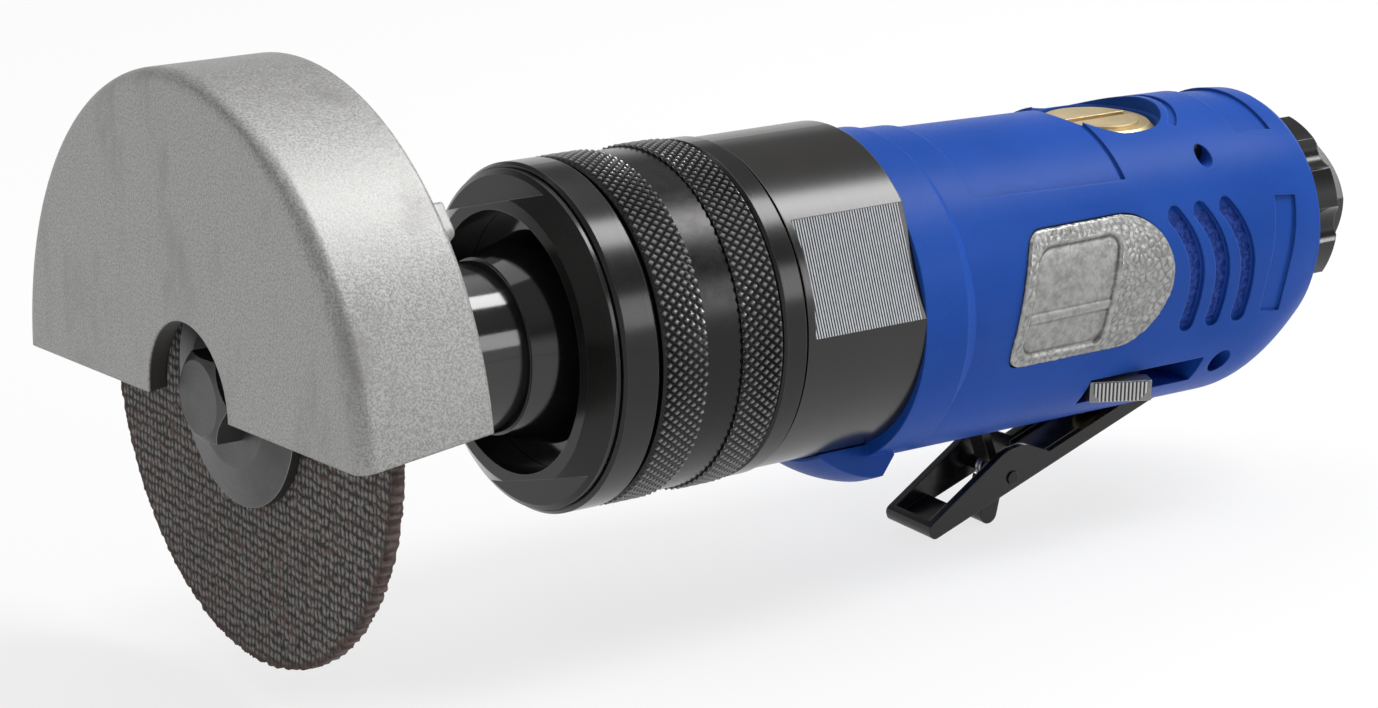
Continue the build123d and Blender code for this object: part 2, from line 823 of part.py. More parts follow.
# Plate dowels: two pins that line the end plates up with the cylinder
with BuildPart() as plate_dowels:
    with BuildSketch(Plane.YZ.offset(cylinder_front_x - dowel_depth + seat_gap)):
        with Locations((dowel_y, 0), (-dowel_y, 0)):
            Circle(dowel_diameter / 2)
    extrude(amount=cylinder_length + 2 * dowel_depth - seat_gap)
save(plate_dowels, "plate_dowels")

# Rotor: a slotted steel drum pressed onto the spindle, with a stub shaft in the rear bearing
rotor_radius = rotor_diameter / 2
slot_outer = rotor_radius - vane_height
with BuildPart() as rotor:
    revolve(
        half_section(
            (rotor_front_x, journal_radius),
            (journal_rear_x + seat_gap, journal_radius),
            (journal_rear_x + seat_gap, 0),
            (rear_bearing_x + rear_bearing_width, 0),
            (rear_bearing_x + rear_bearing_width, stub_radius),
            (rotor_rear_x, stub_radius),
            (rotor_rear_x, rotor_radius),
            (rotor_front_x, rotor_radius),
        ),
        axis=Axis.X,
    )
    with BuildSketch(Plane.YZ.offset(rotor_front_x)):
        with PolarLocations(slot_outer, vane_count):
            Rectangle(
                2 * vane_height, vane_thickness + 2 * running_fit, align=(Align.MIN, Align.CENTER)
            )
    extrude(amount=rotor_rear_x - rotor_front_x, mode=Mode.SUBTRACT)
save(rotor, "rotor")

# Rotor vanes: flat composite blades, shown at the bottom of their slots
with BuildPart() as rotor_vanes:
    with BuildSketch(Plane.YZ.offset(rotor_front_x)):
        with PolarLocations(slot_outer + running_fit, vane_count):
            Rectangle(
                vane_height - vane_tip_setback, vane_thickness, align=(Align.MIN, Align.CENTER)
            )
    extrude(amount=rotor_rear_x - rotor_front_x)
save(rotor_vanes, "rotor_vanes")

# Housing gasket: seals the end of the motor housing against the grip's floor
with BuildPart() as housing_gasket:
    revolve(
        tube_section(
            spigot_rear_x + seat_gap,
            spigot_rear_x + seat_gap + gasket_thickness,
            spigot_diameter / 2,
            housing_rear_bore / 2,
        ),
        axis=Axis.X,
    )
save(housing_gasket, "housing_gasket")


# Grip form: a crown circle on the axis and a keel circle below it, joined by their tangents
def egg_section(x, crown, keel, drop):
    """The grip's outline at x."""
    lean = math.asin((keel - crown) / drop)
    crown_point = (crown * math.cos(lean), crown * math.sin(lean))
    keel_point = (keel * math.cos(lean), keel * math.sin(lean) - drop)
    with BuildSketch(Plane.YZ.offset(x)) as section:
        with BuildLine():
            ThreePointArc(crown_point, (0, crown), (-crown_point[0], crown_point[1]))
            Line((-crown_point[0], crown_point[1]), (-keel_point[0], keel_point[1]))
            ThreePointArc((-keel_point[0], keel_point[1]), (0, -drop - keel), keel_point)
            Line(keel_point, crown_point)
        make_face()
    return section.sketch


def grip_form(growth):
    """The grip's smooth form, grown on every side: an even taper, then the rounded tail."""
    tail_x = grip_rear_x - grip_tail_length
    tail_sections = []
    for step in range(grip_tail_steps + 1):
        share = step / grip_tail_steps
        bend = share**2
        crown = grip_crown_rear + bend * (grip_tail_crown - grip_crown_rear) + growth
        keel = grip_keel_rear + bend * (grip_tail_keel - grip_keel_rear) + growth
        drop = grip_keel_drop + bend * (grip_tail_drop - grip_keel_drop)
        tail_sections.append(egg_section(tail_x + share * grip_tail_length, crown, keel, drop))
    front_section = egg_section(
        grip_front_x, grip_crown_front + growth, grip_keel_front + growth, grip_keel_drop
    )
    with BuildPart() as form:
        loft(sections=[front_section, tail_sections[0]])
        loft(sections=tail_sections)
    return form.part


# Shallow marks: blank label panels and the arc beside the valve window, cut to one depth below the form
with BuildPart() as shallow_marks:
    with BuildSketch(Plane.XY):
        with Locations((grip_rear_x - top_panel_setback, 0)):
            Rectangle(top_panel_length, 2 * top_panel_half_width, align=(Align.MAX, Align.CENTER))
        with Locations((grip_rear_x - rear_panel_setback, 0)):
            Rectangle(rear_panel_length, 2 * rear_panel_half_width, align=(Align.MAX, Align.CENTER))
        arc_mark = CenterArc(
            (valve_x, 0), arc_mark_radius, -arc_mark_half_angle, 2 * arc_mark_half_angle, mode=Mode.PRIVATE
        )
        SlotArc(arc_mark, arc_mark_width)
    extrude(amount=2 * grip_crown_front)
    with BuildSketch(Plane.XZ):
        with Locations((grip_rear_x - side_panel_setback, side_panel_center_z)):
            Rectangle(side_panel_length, side_panel_height, rotation=-side_panel_lean)
    extrude(amount=2 * grip_crown_front)
    add(grip_form(-mark_depth), mode=Mode.SUBTRACT)

# Grip grooves: three curved finger grooves on each side
with BuildPart() as finger_grooves:
    with BuildSketch(Plane.XZ):
        for index in range(groove_count):
            center_x = grip_rear_x - groove_setback + index * groove_pitch - groove_radius
            with BuildLine():
                CenterArc(
                    (center_x, groove_center_z),
                    groove_radius,
                    groove_bottom_angle,
                    groove_top_angle - groove_bottom_angle,
                )
                offset(amount=groove_width / 2, side=Side.BOTH)
            make_face()
    extrude(amount=2 * grip_crown_front, both=True)
    add(grip_form(-groove_depth), mode=Mode.SUBTRACT)


def badge_outline(margin):
    """The badge's outline on the near side: a slanted, slightly bowed front edge and a round rear end."""
    low = badge_center_z - badge_height / 2 - margin
    high = badge_center_z + badge_height / 2 + margin
    front = grip_rear_x - badge_setback - badge_length - margin
    rear = grip_rear_x - badge_setback + margin
    round_x = rear - (high - low) / 2
    with BuildSketch(Plane.XZ) as outline:
        with BuildLine():
            Line((round_x, high), (front + badge_slant, high))
            ThreePointArc(
                (front + badge_slant, high),
                (front + badge_slant / 2 - badge_bulge, (low + high) / 2),
                (front, low),
            )
            Line((front, low), (round_x, low))
            ThreePointArc((round_x, low), (rear, (low + high) / 2), (round_x, high))
        make_face()
        fillet(outline.vertices().sort_by(Axis.X)[0], radius=badge_low_corner)
        fillet(outline.vertices().group_by(Axis.Y)[-1].sort_by(Axis.X)[0], radius=badge_top_corner)
    return outline.sketch


with BuildPart() as badge_pocket:
    extrude(badge_outline(badge_gap), amount=2 * grip_crown_front)
    add(grip_form(-badge_recess), mode=Mode.SUBTRACT)

# Badge plate: a cast plate let into the near side, following the grip's curve
with BuildPart() as badge_plate:
    extrude(badge_outline(0), amount=2 * grip_crown_front)
    add(grip_form(badge_proud), mode=Mode.INTERSECT)
    add(grip_form(-badge_recess + seat_gap), mode=Mode.SUBTRACT)
save(badge_plate, "badge_plate")

# Lever channel under the grip: a ledge for the safety catch, a roof, and a deeper pocket for the lever's ears
channel_half = lever_width / 2 + channel_side_gap
channel_rear_x = pivot_x + channel_rear
channel_front_x = pivot_x - channel_front
ledge_end_x = pivot_x - channel_ledge_end
ears_front_x = pivot_x - channel_ear_front
keel_bottom = -2 * grip_keel_drop - 2 * grip_keel_front
with BuildPart() as lever_channel:
    with BuildSketch(Plane.XZ):
        with BuildLine():
            Polyline(
                (channel_front_x, keel_bottom),
                (channel_rear_x, keel_bottom),
                (channel_rear_x, pivot_z + channel_ear_roof),
                (ears_front_x, pivot_z + channel_ear_roof),
                (ears_front_x, channel_roof_z),
                (ledge_end_x, channel_roof_z),
                (ledge_end_x, channel_ledge_z),
                (channel_front_x, channel_ledge_z),
                close=True,
            )
        make_face()
    extrude(amount=channel_half, both=True)

# Grip housing: the moulded body with its collar, chin, valve bore, ducts, channel and pockets
rear_edge_radius = grip_tail_crown + grip_tail_drop / 2
rear_edge_x = grip_rear_x - grip_rear_round
rear_edge_step = grip_rear_round * (1 - math.cos(math.pi / 4))
collar_axis = Axis((0, 0, -grip_collar_drop), (1, 0, 0))
collar_end_x = grip_front_x + grip_collar_length
chin_front_x = grip_front_x - chin_forward
chin_rear_x = grip_front_x + chin_back
chin_radius = housing_radius + chin_housing_gap
chin_span = chin_forward + chin_back
sleeve_bore_radius = sleeve_radius + running_fit
pocket_radius = reverse_ring_diameter / 2 + face_gap


def tab_sweep(angle):
    """How far the reverse lever's tab reaches along X at an angle from the side, with the slot's gap."""
    angle_rad = math.radians(angle)
    return (
        reverse_tab_reach * math.sin(angle_rad)
        + reverse_tab_width / 2 * math.cos(angle_rad)
        + reverse_slot_gap
    )


slot_front = tab_sweep(reverse_rest_angle)
slot_rear = tab_sweep(reverse_swing - reverse_rest_angle)
bushing_front_x = grip_rear_x - shank_grip_length
screen_front_x = bushing_front_x - seat_gap - screen_thickness
with BuildPart() as grip_housing:
    add(grip_form(0))
    with BuildSketch(Plane(origin=(0, 0, -grip_tail_drop / 2), x_dir=(1, 0, 0), z_dir=(0, -1, 0))):
        with BuildLine():
            Polyline(
                (grip_front_x, 0),
                (grip_front_x, 2 * grip_crown_front),
                (rear_edge_x, 2 * grip_crown_front),
                (rear_edge_x, rear_edge_radius),
                (grip_rear_x - rear_edge_step, rear_edge_radius - rear_edge_step),
                (grip_rear_x, rear_edge_radius - grip_rear_round),
                (grip_rear_x, 0),
                close=True,
            )
        make_face()
    revolve(axis=Axis((0, 0, -grip_tail_drop / 2), (1, 0, 0)), mode=Mode.INTERSECT)
    with BuildSketch(Plane(origin=(0, 0, -grip_collar_drop), x_dir=(1, 0, 0), z_dir=(0, -1, 0))):
        with BuildLine():
            Polyline(
                (grip_front_x, 0),
                (grip_front_x, grip_collar_radius),
                (collar_end_x, grip_collar_radius),
                (collar_end_x + grip_collar_slope, grip_collar_radius - grip_collar_toe),
                (collar_end_x + grip_collar_slope, 0),
                close=True,
            )
        make_face()
    revolve(axis=collar_axis)
    with BuildSketch(radial_plane(-90 - chin_half_angle)):
        with BuildLine():
            Polyline(
                (chin_rear_x, chin_radius),
                (chin_front_x, chin_radius),
                (chin_front_x, chin_radius + chin_toe_height),
            )
            Spline(
                (chin_front_x, chin_radius + chin_toe_height),
                (chin_front_x + chin_middle_along * chin_span, chin_radius + chin_middle_rise * chin_depth),
                (chin_front_x + chin_top_from * chin_span, chin_radius + chin_depth),
            )
            Polyline(
                (chin_front_x + chin_top_from * chin_span, chin_radius + chin_depth),
                (chin_front_x + chin_top_to * chin_span, chin_radius + chin_depth),
                (chin_rear_x, chin_radius + chin_heel_rise * chin_depth),
                (chin_rear_x, chin_radius),
            )
        make_face()
    revolve(axis=Axis.X, revolution_arc=2 * chin_half_angle)
    with BuildSketch(Plane.YZ.offset(grip_front_x)):
        Circle(spigot_diameter / 2 + close_fit)
    extrude(amount=grip_floor_x - grip_front_x, mode=Mode.SUBTRACT)
    with BuildSketch(Plane.YZ.offset(grip_floor_x)):
        with Locations((exhaust_duct_offset, 0), (-exhaust_duct_offset, 0)):
            Circle(exhaust_duct_diameter / 2)
    extrude(amount=grip_rear_x - grip_floor_x, mode=Mode.SUBTRACT)
    with BuildSketch(Plane.YZ.offset(grip_floor_x)):
        with Locations((0, drive_duct_offset), (0, -drive_duct_offset)):
            Circle(drive_duct_diameter / 2)
    extrude(amount=valve_x - grip_floor_x, mode=Mode.SUBTRACT)
    with BuildSketch(Plane.YZ.offset(valve_x)):
        Circle(intake_duct_diameter / 2)
    extrude(amount=grip_rear_x - valve_x, mode=Mode.SUBTRACT)
    with BuildSketch(Plane.YZ.offset(screen_front_x - seat_gap)):
        Circle(shank_radius + close_fit)
    extrude(amount=grip_rear_x - screen_front_x + seat_gap, mode=Mode.SUBTRACT)
    with BuildSketch(Plane.YZ.offset(grip_rear_x)):
        Circle(exhaust_groove_outer)
        Circle(exhaust_groove_inner, mode=Mode.SUBTRACT)
    extrude(amount=-exhaust_groove_depth, mode=Mode.SUBTRACT)
    with BuildSketch(Plane.XY.offset(reverse_slot_bottom)):
        with Locations((valve_x, 0)):
            Circle(sleeve_bore_radius)
    extrude(amount=2 * grip_crown_front - reverse_slot_bottom, mode=Mode.SUBTRACT)
    with BuildSketch(Plane.XY.offset(sleeve_top)):
        with Locations((valve_x, 0)):
            Circle(sleeve_radius + window_gap)
    extrude(amount=2 * grip_crown_front, mode=Mode.SUBTRACT)
    with BuildSketch(Plane.XY.offset(reverse_slot_bottom)):
        with Locations((valve_x, 0)):
            Circle(pocket_radius)
    extrude(amount=reverse_slot_top - reverse_slot_bottom, mode=Mode.SUBTRACT)
    with BuildSketch(Plane.XY.offset(reverse_slot_bottom)):
        with Locations((valve_x - slot_front, 0)):
            Rectangle(slot_front + slot_rear, 2 * grip_crown_front, align=(Align.MIN, Align.MAX))
    extrude(amount=reverse_slot_top - reverse_slot_bottom, mode=Mode.SUBTRACT)
    add(lever_channel.part, mode=Mode.SUBTRACT)
    with BuildSketch(Plane.XZ):
        with Locations((pivot_x, pivot_z)):
            Circle(pivot_pin_diameter / 2 + close_fit)
    extrude(amount=2 * grip_crown_front, both=True, mode=Mode.SUBTRACT)
    retaining_pin_x = valve_x + sleeve_radius - retaining_groove_depth + retaining_pin_diameter / 2 + face_gap
    with BuildSketch(Plane.XZ):
        with Locations((retaining_pin_x, retaining_pin_z)):
            Circle(retaining_pin_diameter / 2 + close_fit)
    extrude(amount=2 * grip_crown_front, both=True, mode=Mode.SUBTRACT)
    add(shallow_marks.part, mode=Mode.SUBTRACT)
    add(finger_grooves.part, mode=Mode.SUBTRACT)
    add(badge_pocket.part, mode=Mode.SUBTRACT)
save(grip_housing, "grip_housing")

# Reverse sleeve: the brass rotary valve, with the throttle's chamber and seat inside it
sleeve_plane = Plane(origin=(valve_x, 0, 0), x_dir=(1, 0, 0), z_dir=(0, -1, 0))
sleeve_axis = Axis((valve_x, 0, 0), (0, 0, 1))
chamber_radius = sleeve_chamber_diameter / 2
stem_hole_radius = stem_diameter / 2 + running_fit
shank_hole_radius = sleeve_shank_diameter / 2
cap_seat_z = sleeve_top + cap_rise - cap_depth
seal_groove_radius = sleeve_radius - seal_ring_wire - running_fit
with BuildPart() as reverse_sleeve:
    with BuildSketch(sleeve_plane):
        with BuildLine():
            Polyline(
                (stem_hole_radius, sleeve_bottom),
                (shank_hole_radius, sleeve_bottom),
                (shank_hole_radius, sleeve_shank_top),
                (sleeve_radius, sleeve_shank_top),
                (sleeve_radius, sleeve_top - sleeve_bevel),
                (sleeve_radius - sleeve_bevel, sleeve_top),
                (cap_diameter / 2 + close_fit, sleeve_top),
                (cap_diameter / 2 + close_fit, cap_seat_z),
                (chamber_radius, cap_seat_z),
                (chamber_radius, sleeve_seat_z),
                (stem_hole_radius, sleeve_seat_z),
                close=True,
            )
        make_face()
    revolve(axis=sleeve_axis)
    with BuildSketch(sleeve_plane):
        with Locations((seal_groove_radius, upper_seal_z), (seal_groove_radius, lower_seal_z)):
            Rectangle(sleeve_radius, seal_ring_wire + 2 * running_fit, align=(Align.MIN, Align.CENTER))
        with Locations((sleeve_radius - retaining_groove_depth, retaining_pin_z)):
            Rectangle(
                sleeve_radius, retaining_pin_diameter + 2 * running_fit, align=(Align.MIN, Align.CENTER)
            )
    revolve(axis=sleeve_axis, mode=Mode.SUBTRACT)
    with BuildSketch(Plane.YZ.offset(valve_x)):
        with Locations((0, sleeve_inlet_port_z)):
            Circle(sleeve_port_diameter / 2)
    extrude(amount=sleeve_diameter, mode=Mode.SUBTRACT)
    with BuildSketch(Plane.YZ.offset(valve_x)):
        with Locations((0, sleeve_outlet_port_z)):
            Circle(sleeve_port_diameter / 2)
    extrude(amount=-sleeve_diameter, mode=Mode.SUBTRACT)
save(reverse_sleeve, "reverse_sleeve")

# Sleeve O-rings: two rubber rings in the sleeve's grooves
ring_center_radius = sleeve_radius - seal_ring_wire / 2
with BuildPart() as sleeve_o_rings:
    with BuildSketch(sleeve_plane):
        with Locations((ring_center_radius, upper_seal_z), (ring_center_radius, lower_seal_z)):
            Circle(seal_ring_wire / 2)
    revolve(axis=sleeve_axis)
save(sleeve_o_rings, "sleeve_o_rings")

# Valve cap: the slotted brass plug that closes the throttle's chamber
with BuildPart() as valve_cap:
    with BuildSketch(Plane.XY.offset(cap_seat_z + seat_gap)):
        with Locations((valve_x, 0)):
            Circle(cap_diameter / 2)
    extrude(amount=cap_depth - seat_gap)
    with BuildSketch(Plane.XY.offset(sleeve_top + cap_rise - cap_slot_depth)):
        with Locations((valve_x, 0)):
            Rectangle(2 * cap_diameter, cap_slot_width)
    extrude(amount=cap_slot_depth, mode=Mode.SUBTRACT)
save(valve_cap, "valve_cap")

# Retaining pin: crosses the grip and runs in the sleeve's groove
with BuildPart() as retaining_pin:
    with BuildSketch(Plane.XZ):
        with Locations((retaining_pin_x, retaining_pin_z)):
            Circle(retaining_pin_diameter / 2)
    extrude(amount=retaining_pin_length / 2, both=True)
save(retaining_pin, "retaining_pin")

# Throttle stem: pushed up by the lever's web, it lifts its head off the seat
hang_rad = math.radians(lever_hang)
web_inner = lever_web_offset - lever_sheet
web_z = (
    pivot_z
    - math.tan(hang_rad) * (pivot_x - valve_x)
    - web_inner / math.cos(hang_rad)
)
stem_tip_z = web_z + stem_web_gap
washer_top_z = sleeve_seat_z + seat_gap + seal_washer_thickness
head_bottom_z = washer_top_z + seat_gap
head_top_z = head_bottom_z + stem_head_thickness
with BuildPart() as throttle_stem:
    with BuildSketch(sleeve_plane):
        with BuildLine():
            Polyline(
                (0, stem_tip_z + stem_diameter / 2),
                (0, head_top_z),
                (stem_head_diameter / 2, head_top_z),
                (stem_head_diameter / 2, head_bottom_z),
                (stem_diameter / 2, head_bottom_z),
                (stem_diameter / 2, stem_tip_z + stem_diameter / 2),
                close=True,
            )
        make_face()
        with Locations((0, stem_tip_z + stem_diameter / 2)):
            Circle(stem_diameter / 2)
        with Locations((0, stem_tip_z - stem_diameter)):
            Rectangle(
                stem_diameter, head_top_z - stem_tip_z + 2 * stem_diameter,
                align=(Align.MAX, Align.MIN), mode=Mode.SUBTRACT,
            )
    revolve(axis=sleeve_axis)
save(throttle_stem, "throttle_stem")

# Throttle seal: the rubber washer under the stem's head
with BuildPart() as throttle_seal:
    with BuildSketch(Plane.XY.offset(sleeve_seat_z + seat_gap)):
        with Locations((valve_x, 0)):
            Circle(stem_head_diameter / 2)
            Circle(stem_diameter / 2 + close_fit, mode=Mode.SUBTRACT)
    extrude(amount=seal_washer_thickness)
save(throttle_seal, "throttle_seal")

# Throttle spring: a steel coil between the stem's head and the cap
spring_bottom = head_top_z + spring_wire / 2 + seat_gap
spring_height = cap_seat_z - spring_wire / 2 - spring_bottom
spring_radius = stem_head_diameter / 2 - spring_wire / 2
with BuildPart() as throttle_spring:
    with BuildLine() as spring_line:
        Helix(spring_height / spring_turns, spring_height, spring_radius, center=(valve_x, 0, spring_bottom))
    with BuildSketch(Plane(origin=spring_line.line @ 0, z_dir=spring_line.line % 0)):
        Circle(spring_wire / 2)
    sweep(is_frenet=True)
save(throttle_spring, "throttle_spring")

# Reverse lever: a clamped ring on the sleeve's shank, with an arm and a tab through the grip's side
arm_rad = math.radians(-90 - reverse_rest_angle)
arm_dir = (math.cos(arm_rad), math.sin(arm_rad))
arm_plane = Plane(
    origin=(valve_x, 0, reverse_arm_bottom), x_dir=(arm_dir[0], arm_dir[1], 0), z_dir=(0, 0, 1)
)
tab_inner = reverse_tab_reach - reverse_tab_thickness
with BuildPart() as reverse_lever:
    with BuildSketch(arm_plane):
        Circle(reverse_ring_diameter / 2)
        Rectangle(reverse_tab_reach - seat_gap, reverse_arm_width, align=(Align.MIN, Align.CENTER))
        with Locations((tab_inner, 0)):
            Rectangle(reverse_tab_thickness, reverse_tab_width, align=(Align.MIN, Align.CENTER))
        Circle(shank_hole_radius + close_fit, mode=Mode.SUBTRACT)
    extrude(amount=reverse_arm_thickness)
    arm_axis = Axis((0, 0, 0), (arm_dir[0], arm_dir[1], 0))
    tab_sides = reverse_lever.edges().group_by(Axis.Z)[0].filter_by(arm_axis)
    chamfer(
        tab_sides.sort_by_distance(arm_plane.from_local_coords((reverse_tab_reach, 0, 0)))[:2],
        length=reverse_tab_bevel,
    )
    with BuildSketch(Plane(
        origin=(valve_x, 0, reverse_arm_bottom + reverse_arm_thickness / 2),
        x_dir=(0, 0, 1),
        z_dir=(-arm_dir[0], -arm_dir[1], 0),
    )):
        Circle(reverse_screw_diameter / 2 + close_fit)
    extrude(amount=reverse_ring_diameter, mode=Mode.SUBTRACT)
save(reverse_lever, "reverse_lever")

# Reverse lever screw: the grub screw that fixes the ring on the shank
screw_length = reverse_ring_diameter / 2 - shank_hole_radius - seat_gap
with BuildPart() as reverse_lever_screw:
    with BuildSketch(Plane(
        origin=(
            valve_x - arm_dir[0] * (shank_hole_radius + seat_gap),
            -arm_dir[1] * (shank_hole_radius + seat_gap),
            reverse_arm_bottom + reverse_arm_thickness / 2,
        ),
        x_dir=(0, 0, 1),
        z_dir=(-arm_dir[0], -arm_dir[1], 0),
    )):
        Circle(reverse_screw_diameter / 2)
    extrude(amount=screw_length)
save(reverse_lever_screw, "reverse_lever_screw")

# Lever pin: the throttle lever's pivot across the grip
with BuildPart() as lever_pin:
    with BuildSketch(Plane.XZ):
        with Locations((pivot_x, pivot_z)):
            Circle(pivot_pin_diameter / 2)
    extrude(amount=pivot_pin_length / 2, both=True)
save(lever_pin, "lever_pin")

# Throttle lever: a folded steel channel, open in the middle for the safety catch
lever_plane = Plane(
    origin=(pivot_x, 0, pivot_z),
    x_dir=(-math.cos(hang_rad), 0, -math.sin(hang_rad)),
    z_dir=(0, 1, 0),
)
web = -lever_web_offset
ear_tail_rad = math.radians(lever_ear_tail_angle)
ear_throat_rad = math.radians(lever_ear_throat_angle)
catch_local = (catch_along_lever, web + catch_above_web)
with BuildPart() as throttle_lever:
    with BuildSketch(lever_plane) as lever_side:
        with BuildLine():
            Polyline(
                (lever_ear_radius, web),
                (lever_length, web),
                (lever_length, web + lever_nose_height),
                (lever_cheek_front, web + lever_cheek_height),
                (lever_cheek_rear, web + lever_cheek_height - lever_cheek_fall),
                (lever_rail_front, web + lever_rail_height),
                (lever_rail_rear, web + lever_rail_height),
                (lever_ear_radius * math.cos(ear_throat_rad), lever_ear_radius * math.sin(ear_throat_rad)),
                (lever_ear_radius * math.cos(ear_tail_rad), lever_ear_radius * math.sin(ear_tail_rad)),
                close=True,
            )
        make_face()
        fillet(lever_side.vertices().sort_by_distance((lever_length, web))[:2], radius=lever_nose_round)
        cheek_corners = lever_side.vertices().sort_by_distance((lever_cheek_rear, web + lever_cheek_height))
        fillet(cheek_corners[:2], radius=lever_cheek_round)
        Circle(lever_ear_radius)
    extrude(amount=lever_width / 2, both=True)
    with BuildSketch(lever_plane):
        with Locations((-2 * lever_ear_radius, web + lever_sheet)):
            Rectangle(
                lever_length - lever_sheet + 2 * lever_ear_radius, 4 * lever_web_offset, align=Align.MIN
            )
    extrude(amount=lever_width / 2 - lever_sheet, both=True, mode=Mode.SUBTRACT)
    with BuildSketch(lever_plane):
        with Locations((lever_window_rear, web)):
            Rectangle(
                lever_window_front - lever_window_rear, 2 * lever_sheet, align=(Align.MIN, Align.CENTER)
            )
    extrude(amount=lever_width / 2 - lever_sheet, both=True, mode=Mode.SUBTRACT)
    with BuildSketch(lever_plane):
        Circle(pivot_pin_diameter / 2 + running_fit)
        with Locations(catch_local):
            Circle(catch_pin_diameter / 2 + close_fit)
    extrude(amount=lever_width, both=True, mode=Mode.SUBTRACT)
save(throttle_lever, "throttle_lever")

# Catch pin: riveted across the lever
catch_center = lever_plane.from_local_coords((catch_local[0], catch_local[1], 0))
catch_x = catch_center.X
catch_z = catch_center.Z
with BuildPart() as catch_pin:
    with BuildSketch(Plane.XZ):
        with Locations((catch_x, catch_z)):
            Circle(catch_pin_diameter / 2)
    extrude(amount=lever_width / 2 + lever_sheet / 4, both=True)
save(catch_pin, "catch_pin")

# Safety catch: a leg that props the lever off the ledge, and a thumb tab below
leg_angle = 90 + catch_leg_lean
tab_angle = -90 + catch_tab_lean
leg_run = catch_leg_length - catch_leg_thickness / 2
tab_run = catch_tab_length - catch_tab_thickness / 2
spring_room = catch_spring_turns * catch_spring_pitch + catch_spring_wire
with BuildPart() as safety_catch:
    with BuildSketch(Plane.XZ):
        with Locations((catch_x, catch_z)):
            Circle(catch_knuckle_radius)
        for angle, run, thickness in (
            (leg_angle, leg_run, catch_leg_thickness),
            (tab_angle, tab_run, catch_tab_thickness),
        ):
            middle = (
                catch_x + run / 2 * math.cos(math.radians(angle)),
                catch_z + run / 2 * math.sin(math.radians(angle)),
            )
            with Locations(middle):
                SlotCenterToCenter(run, thickness, rotation=angle)
    extrude(amount=catch_width / 2, both=True)
    with BuildSketch(Plane.XZ.offset(-catch_width / 2)):
        with Locations((catch_x, catch_z)):
            Circle(catch_knuckle_radius + running_fit)
    extrude(amount=spring_room, mode=Mode.SUBTRACT)
    with BuildSketch(Plane.XZ):
        with Locations((catch_x, catch_z)):
            Circle(catch_pin_diameter / 2 + running_fit)
    extrude(amount=catch_width, both=True, mode=Mode.SUBTRACT)
save(safety_catch, "safety_catch")

# Catch spring: a small torsion coil round the catch pin
coil_radius = (catch_pin_diameter / 2 + catch_knuckle_radius) / 2
coil_start = catch_width / 2 - spring_room + catch_spring_wire / 2 + running_fit
coil_height = catch_spring_turns * catch_spring_pitch - running_fit
with BuildPart() as catch_spring:
    with BuildLine() as coil_line:
        Helix(
            catch_spring_pitch, coil_height, coil_radius,
            center=(catch_x, coil_start, catch_z), direction=(0, 1, 0),
        )
    with BuildSketch(Plane(origin=coil_line.line @ 0, z_dir=coil_line.line % 0)):
        Circle(catch_spring_wire / 2)
    sweep(is_frenet=True)
save(catch_spring, "catch_spring")

# Exhaust deflector: the scalloped black ring behind the grip
deflector_radius = deflector_diameter / 2
with BuildPart() as exhaust_deflector:
    revolve(
        half_section(
            (deflector_front_x, shank_radius + running_fit),
            (deflector_rear_x, shank_radius + running_fit),
            (deflector_rear_x, deflector_radius - deflector_chamfer),
            (deflector_rear_x - deflector_chamfer, deflector_radius),
            (deflector_front_x, deflector_radius),
        ),
        axis=Axis.X,
    )
    with BuildSketch(Plane.YZ.offset(deflector_front_x)):
        with PolarLocations(deflector_radius + scallop_radius - scallop_depth, scallop_count):
            Circle(scallop_radius)
    extrude(amount=deflector_length, mode=Mode.SUBTRACT)
save(exhaust_deflector, "exhaust_deflector")

# Inlet bushing: a chamfered hexagon and a threaded shank, tapped for the air fitting
hex_radius = hex_flats / 2
with BuildPart() as inlet_bushing:
    with BuildSketch(Plane.YZ.offset(hex_front_x)):
        RegularPolygon(hex_radius, 6, major_radius=False, rotation=hex_turn)
    extrude(amount=hex_length)
    revolve(
        half_section(
            (hex_front_x, 0),
            (hex_front_x, hex_radius + hex_chamfer_rise),
            (-hex_chamfer, hex_radius + hex_chamfer_rise),
            (0, hex_radius - hex_chamfer / 2),
            (0, 0),
        ),
        axis=Axis.X,
        mode=Mode.INTERSECT,
    )
    with BuildSketch(Plane.YZ.offset(bushing_front_x)):
        Circle(shank_radius)
    extrude(amount=hex_front_x - bushing_front_x)
    revolve(
        half_section(
            (0, 0),
            (0, inlet_bore / 2),
            (-inlet_bore_depth, inlet_bore / 2),
            (-inlet_bore_depth, inlet_throat / 2),
            (bushing_front_x, inlet_throat / 2),
            (bushing_front_x, 0),
        ),
        axis=Axis.X,
        mode=Mode.SUBTRACT,
    )
    seal_x = bushing_front_x + inlet_seal_setback
    seal_groove_half = inlet_seal_wire / 2 + running_fit
    revolve(
        tube_section(
            seal_x - seal_groove_half,
            seal_x + seal_groove_half,
            shank_diameter,
            shank_radius - inlet_seal_wire - running_fit,
        ),
        axis=Axis.X,
        mode=Mode.SUBTRACT,
    )
save(inlet_bushing, "inlet_bushing")

# Inlet seal: a rubber ring in the shank's groove
with BuildPart() as inlet_seal:
    with BuildSketch(Plane.XZ):
        with Locations((seal_x, shank_radius - inlet_seal_wire / 2)):
            Circle(inlet_seal_wire / 2)
    revolve(axis=Axis.X)
save(inlet_seal, "inlet_seal")

